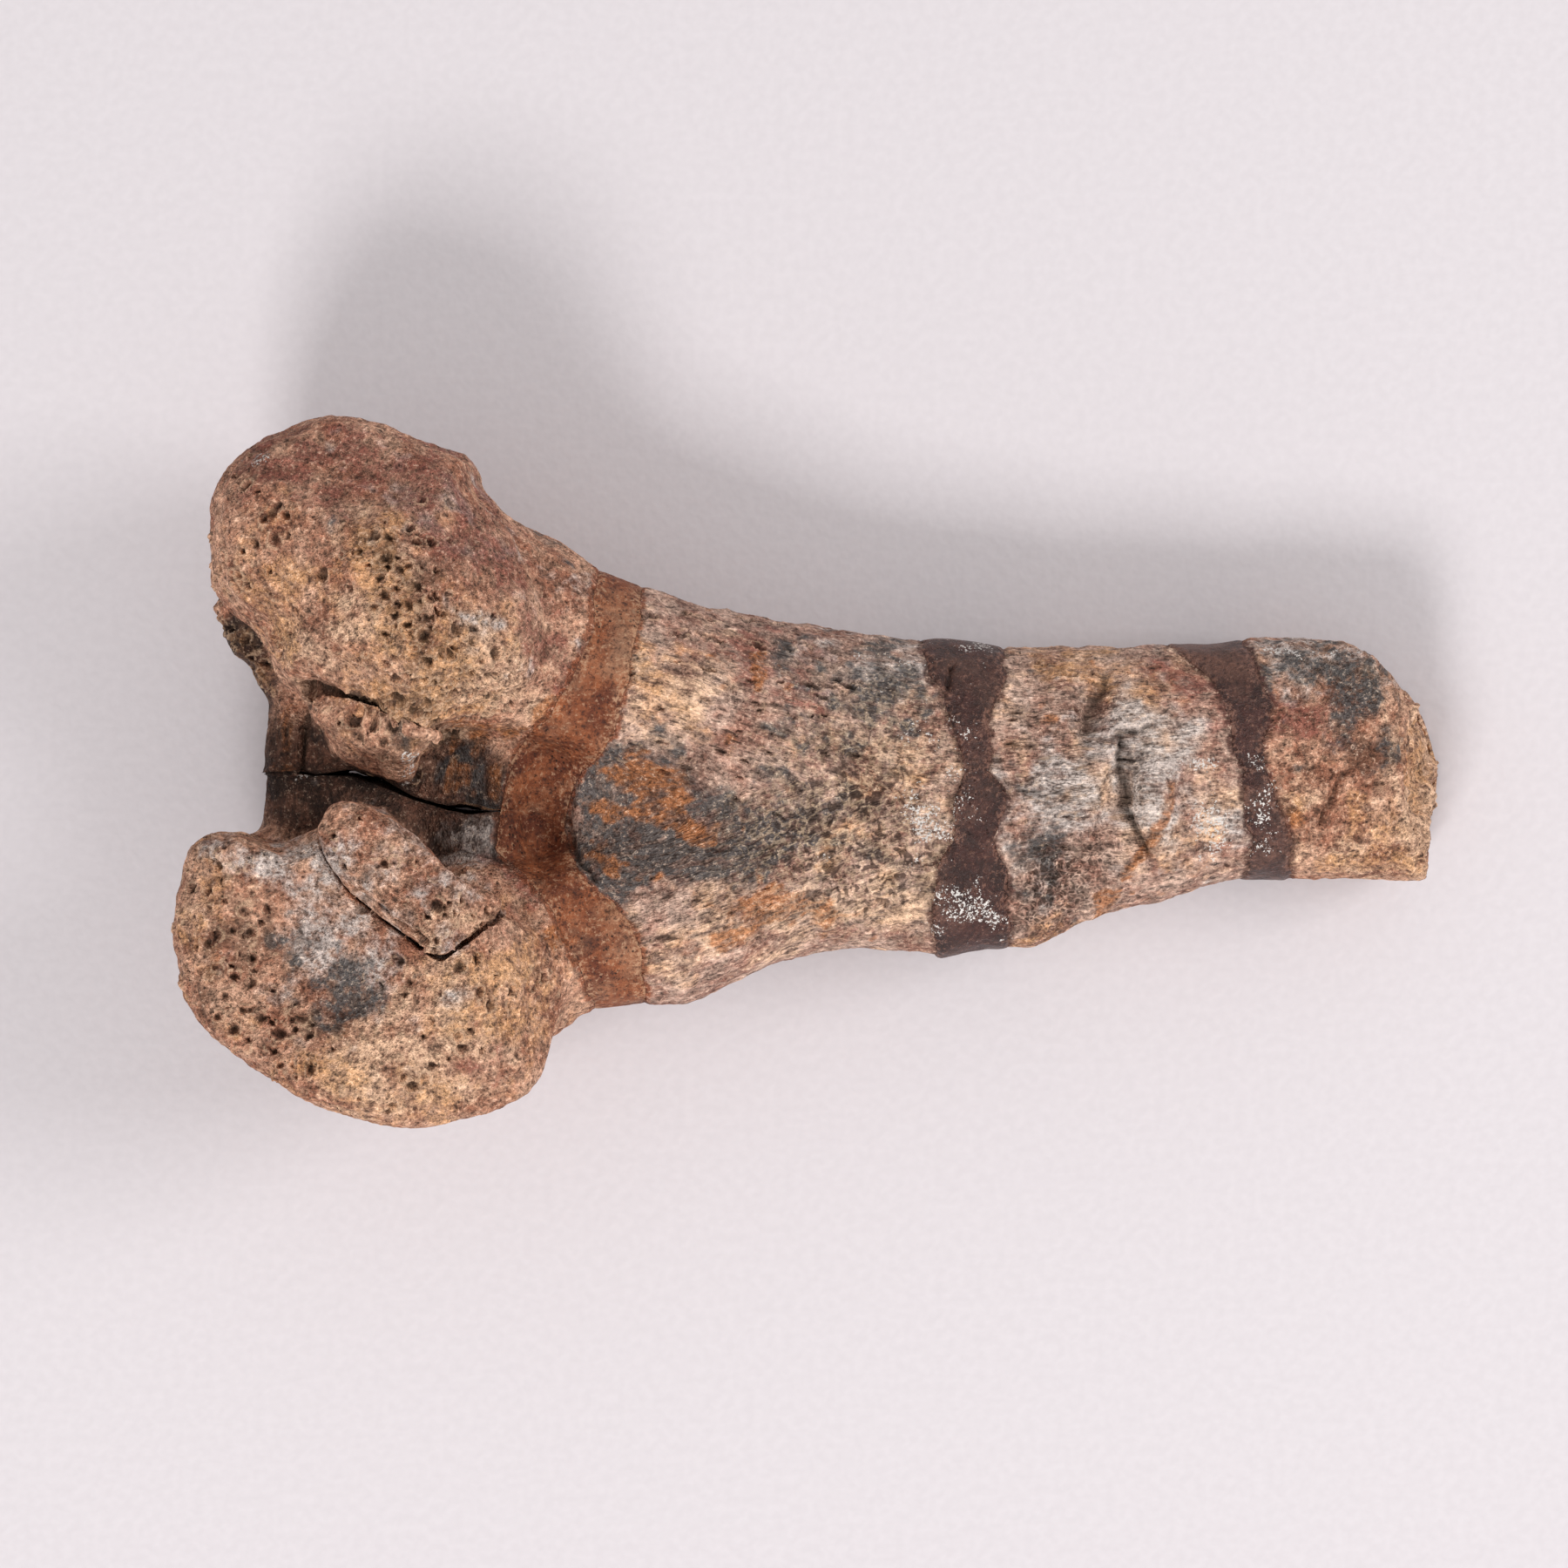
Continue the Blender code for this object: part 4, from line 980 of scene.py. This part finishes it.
def filler(name, deep, pale, dust, pinholes, roughness):
    """Restoration putty: pigmented filler smoothed wet and dried matt, with pinholes and white flecks."""
    def worked(tree):
        place = add(tree, "ShaderNodeTexCoord", out="Object")
        amounts = ("crack", "high", "chalk", "rust", "cream", "orange_smear", "maroon_smear")
        mask = {key: add(tree, "ShaderNodeAttribute", out="Fac", attribute_name=key) for key in amounts}
        noise = {}
        for key, size, detail, rough in (  # size in millimetres, detail and roughness
            ("mottle", 5.0, 4.0, 0.8), ("grit", 0.6, 3.0, 0.8), ("cluster", 3.0, 1.0, 0.6),
            ("fleck", 0.36, 2.0, 0.75),
        ):
            noise[key] = add(tree, "ShaderNodeTexNoise", {
                "Vector": place, "Scale": per_mm(size), "Detail": detail, "Roughness": rough,
            })
        pores = add(tree, "ShaderNodeTexVoronoi", {"Vector": place, "Scale": per_mm(0.8)})
        cluster = {"Value": noise["cluster"], "From Min": 0.45, "From Max": 0.6, "To Max": pinholes}
        hole = deepest(tree, ((pores, 0.2, 0.12, add(tree, "ShaderNodeMapRange", cluster)),))
        edge = {0: mask["orange_smear"], 1: mask["maroon_smear"]}
        edge = add(tree, "ShaderNodeMath", edge, operation="MAXIMUM")
        bits = add(tree, "ShaderNodeMath", {0: edge, 1: 0.1, 2: noise["grit"]}, operation="MULTIPLY_ADD")
        chalk = {0: mask["chalk"], 1: 0.24, 2: noise["fleck"]}
        chalk = add(tree, "ShaderNodeMath", chalk, operation="MULTIPLY_ADD")
        colour = coats(tree, deep, (
            (noise["mottle"], 0.4, 0.6, 1.0, pale), (mask["rust"], 0.0, 1.0, 0.5, "#B05C2A"),
            (mask["cream"], 0.0, 1.0, 0.4, dust), (bits, 0.56, 0.68, 0.75, dust),
            # Paler on the crests of the small hills, dark brown in their hollows
            (mask["high"], 0.2, 1.2, 0.3, dust), (mask["high"], -0.2, -1.0, 0.35, "#2C1610"),
            (noise["grit"], 0.47, 0.36, 0.75, "#2C1610"), (hole, 0.0, 1.0, 1.0, "#1E120E"),
            (mask["crack"], 0.0, 1.0, 1.0, "#1E120E"), (chalk, 0.76, 0.82, 1.0, "#E9E2DC"),
        ))
        height = {0: hole, 1: -1.0, 2: noise["grit"]}
        height = add(tree, "ShaderNodeMath", height, operation="MULTIPLY_ADD")
        return colour, height, 0.4, roughness, 0.4
    return finished(name, worked)


TABLE_SIZE = 6.0  # metres
ROOM_LIGHT = 0.55  # strength of the even light from all sides


def table_top():
    """Matt pale paper on a table, wide enough to fill the view from any side."""
    def paper(tree):
        place = add(tree, "ShaderNodeTexCoord", out="Object")
        fibres = add(tree, "ShaderNodeTexNoise", {"Vector": place, "Scale": per_mm(1.2), "Detail": 1.0})
        return coats(tree, "#D9D2D5", ((fibres, 0.3, 0.7, 1.0, "#DDD6D9"),)), fibres, 0.05, 0.9, 0.3
    bpy.ops.mesh.primitive_plane_add(size=TABLE_SIZE)
    top = bpy.context.object
    top.name = "table_top"
    top.data.materials.append(finished("pale paper", paper))


def area_light(name, place, size, watts):
    """A square light at a place, turned to the middle of the bone."""
    lamp = bpy.data.lights.new(name, "AREA")
    lamp.size = size
    lamp.energy = watts
    made = new_object(name, lamp)
    made.location = place
    made.rotation_euler = (-Vector(place)).to_track_quat("-Z", "Y").to_euler()


def stage():
    """A soft main light from the near left, a fainter one from the right, even light all round, a camera."""
    table_top()
    area_light("main_light", (-0.35, -1.0, 1.15), 0.45, 13)
    area_light("second_light", (1.1, 0.2, 0.9), 0.6, 8.5)
    world = bpy.data.worlds.new("room")
    world.use_nodes = True
    world.node_tree.nodes["Background"].inputs["Color"].default_value = (1, 1, 1, 1)
    world.node_tree.nodes["Background"].inputs["Strength"].default_value = ROOM_LIGHT
    bpy.context.scene.world = world
    lens = bpy.data.cameras.new("camera")
    lens.lens = LENS
    lens.sensor_width = SENSOR
    camera = new_object("camera", lens)
    camera.location = Vector(EYE) * MM
    bpy.context.scene.camera = camera
    bpy.context.scene.view_settings.view_transform = "Standard"


def build():
    """Makes the four materials, the skin and its nine pieces."""
    tan = fossil_bone("tan fossil bone", "#A36C54", "#D6A68A")
    grey = fossil_bone("grey fossil bone", "#9C7060", "#CCAA98")
    orange = filler("orange-brown putty", "#652E17", "#9A5733", "#C29878", 0.8, 0.7)
    maroon = filler("maroon putty", "#2C130D", "#432019", "#8A6252", 0.4, 0.42)
    nodes = [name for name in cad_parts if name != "facet_chip"]
    skin = joined_copy("skin", nodes)
    even_skin(skin, VOXEL, SMOOTH_ROUNDS, SWELL, SWELL)
    carve(skin)
    looks = {
        "fork_putty": (orange, "orange_putty"), "shaft_root": (grey, "grey_bone"),
        "band_inner": (maroon, "maroon_putty"), "shaft_middle": (grey, "grey_bone"),
        "band_outer": (maroon, "maroon_putty"), "shaft_tip": (tan, "tan_bone"),
    }
    for name, (left, right) in PIECES.items():
        finish_piece(part_between("look_" + name, skin, left, right), name, *looks[name])
    heads = part_between("heads", skin, None, "fork_left")
    for name, side in (("head_upper", 1), ("head_lower", -1)):
        finish_piece(head_part("look_" + name, heads, side), name, tan, "tan_bone")
    bpy.data.objects.remove(heads)
    bpy.data.objects.remove(skin)
    chip = joined_copy("look_facet_chip", ["facet_chip"])
    even_skin(chip, CHIP_VOXEL, CHIP_ROUNDS, CHIP_SWELL, 0.0)
    carve(chip)
    finish_piece(chip, "facet_chip", tan, "tan_bone")


build()
stage()
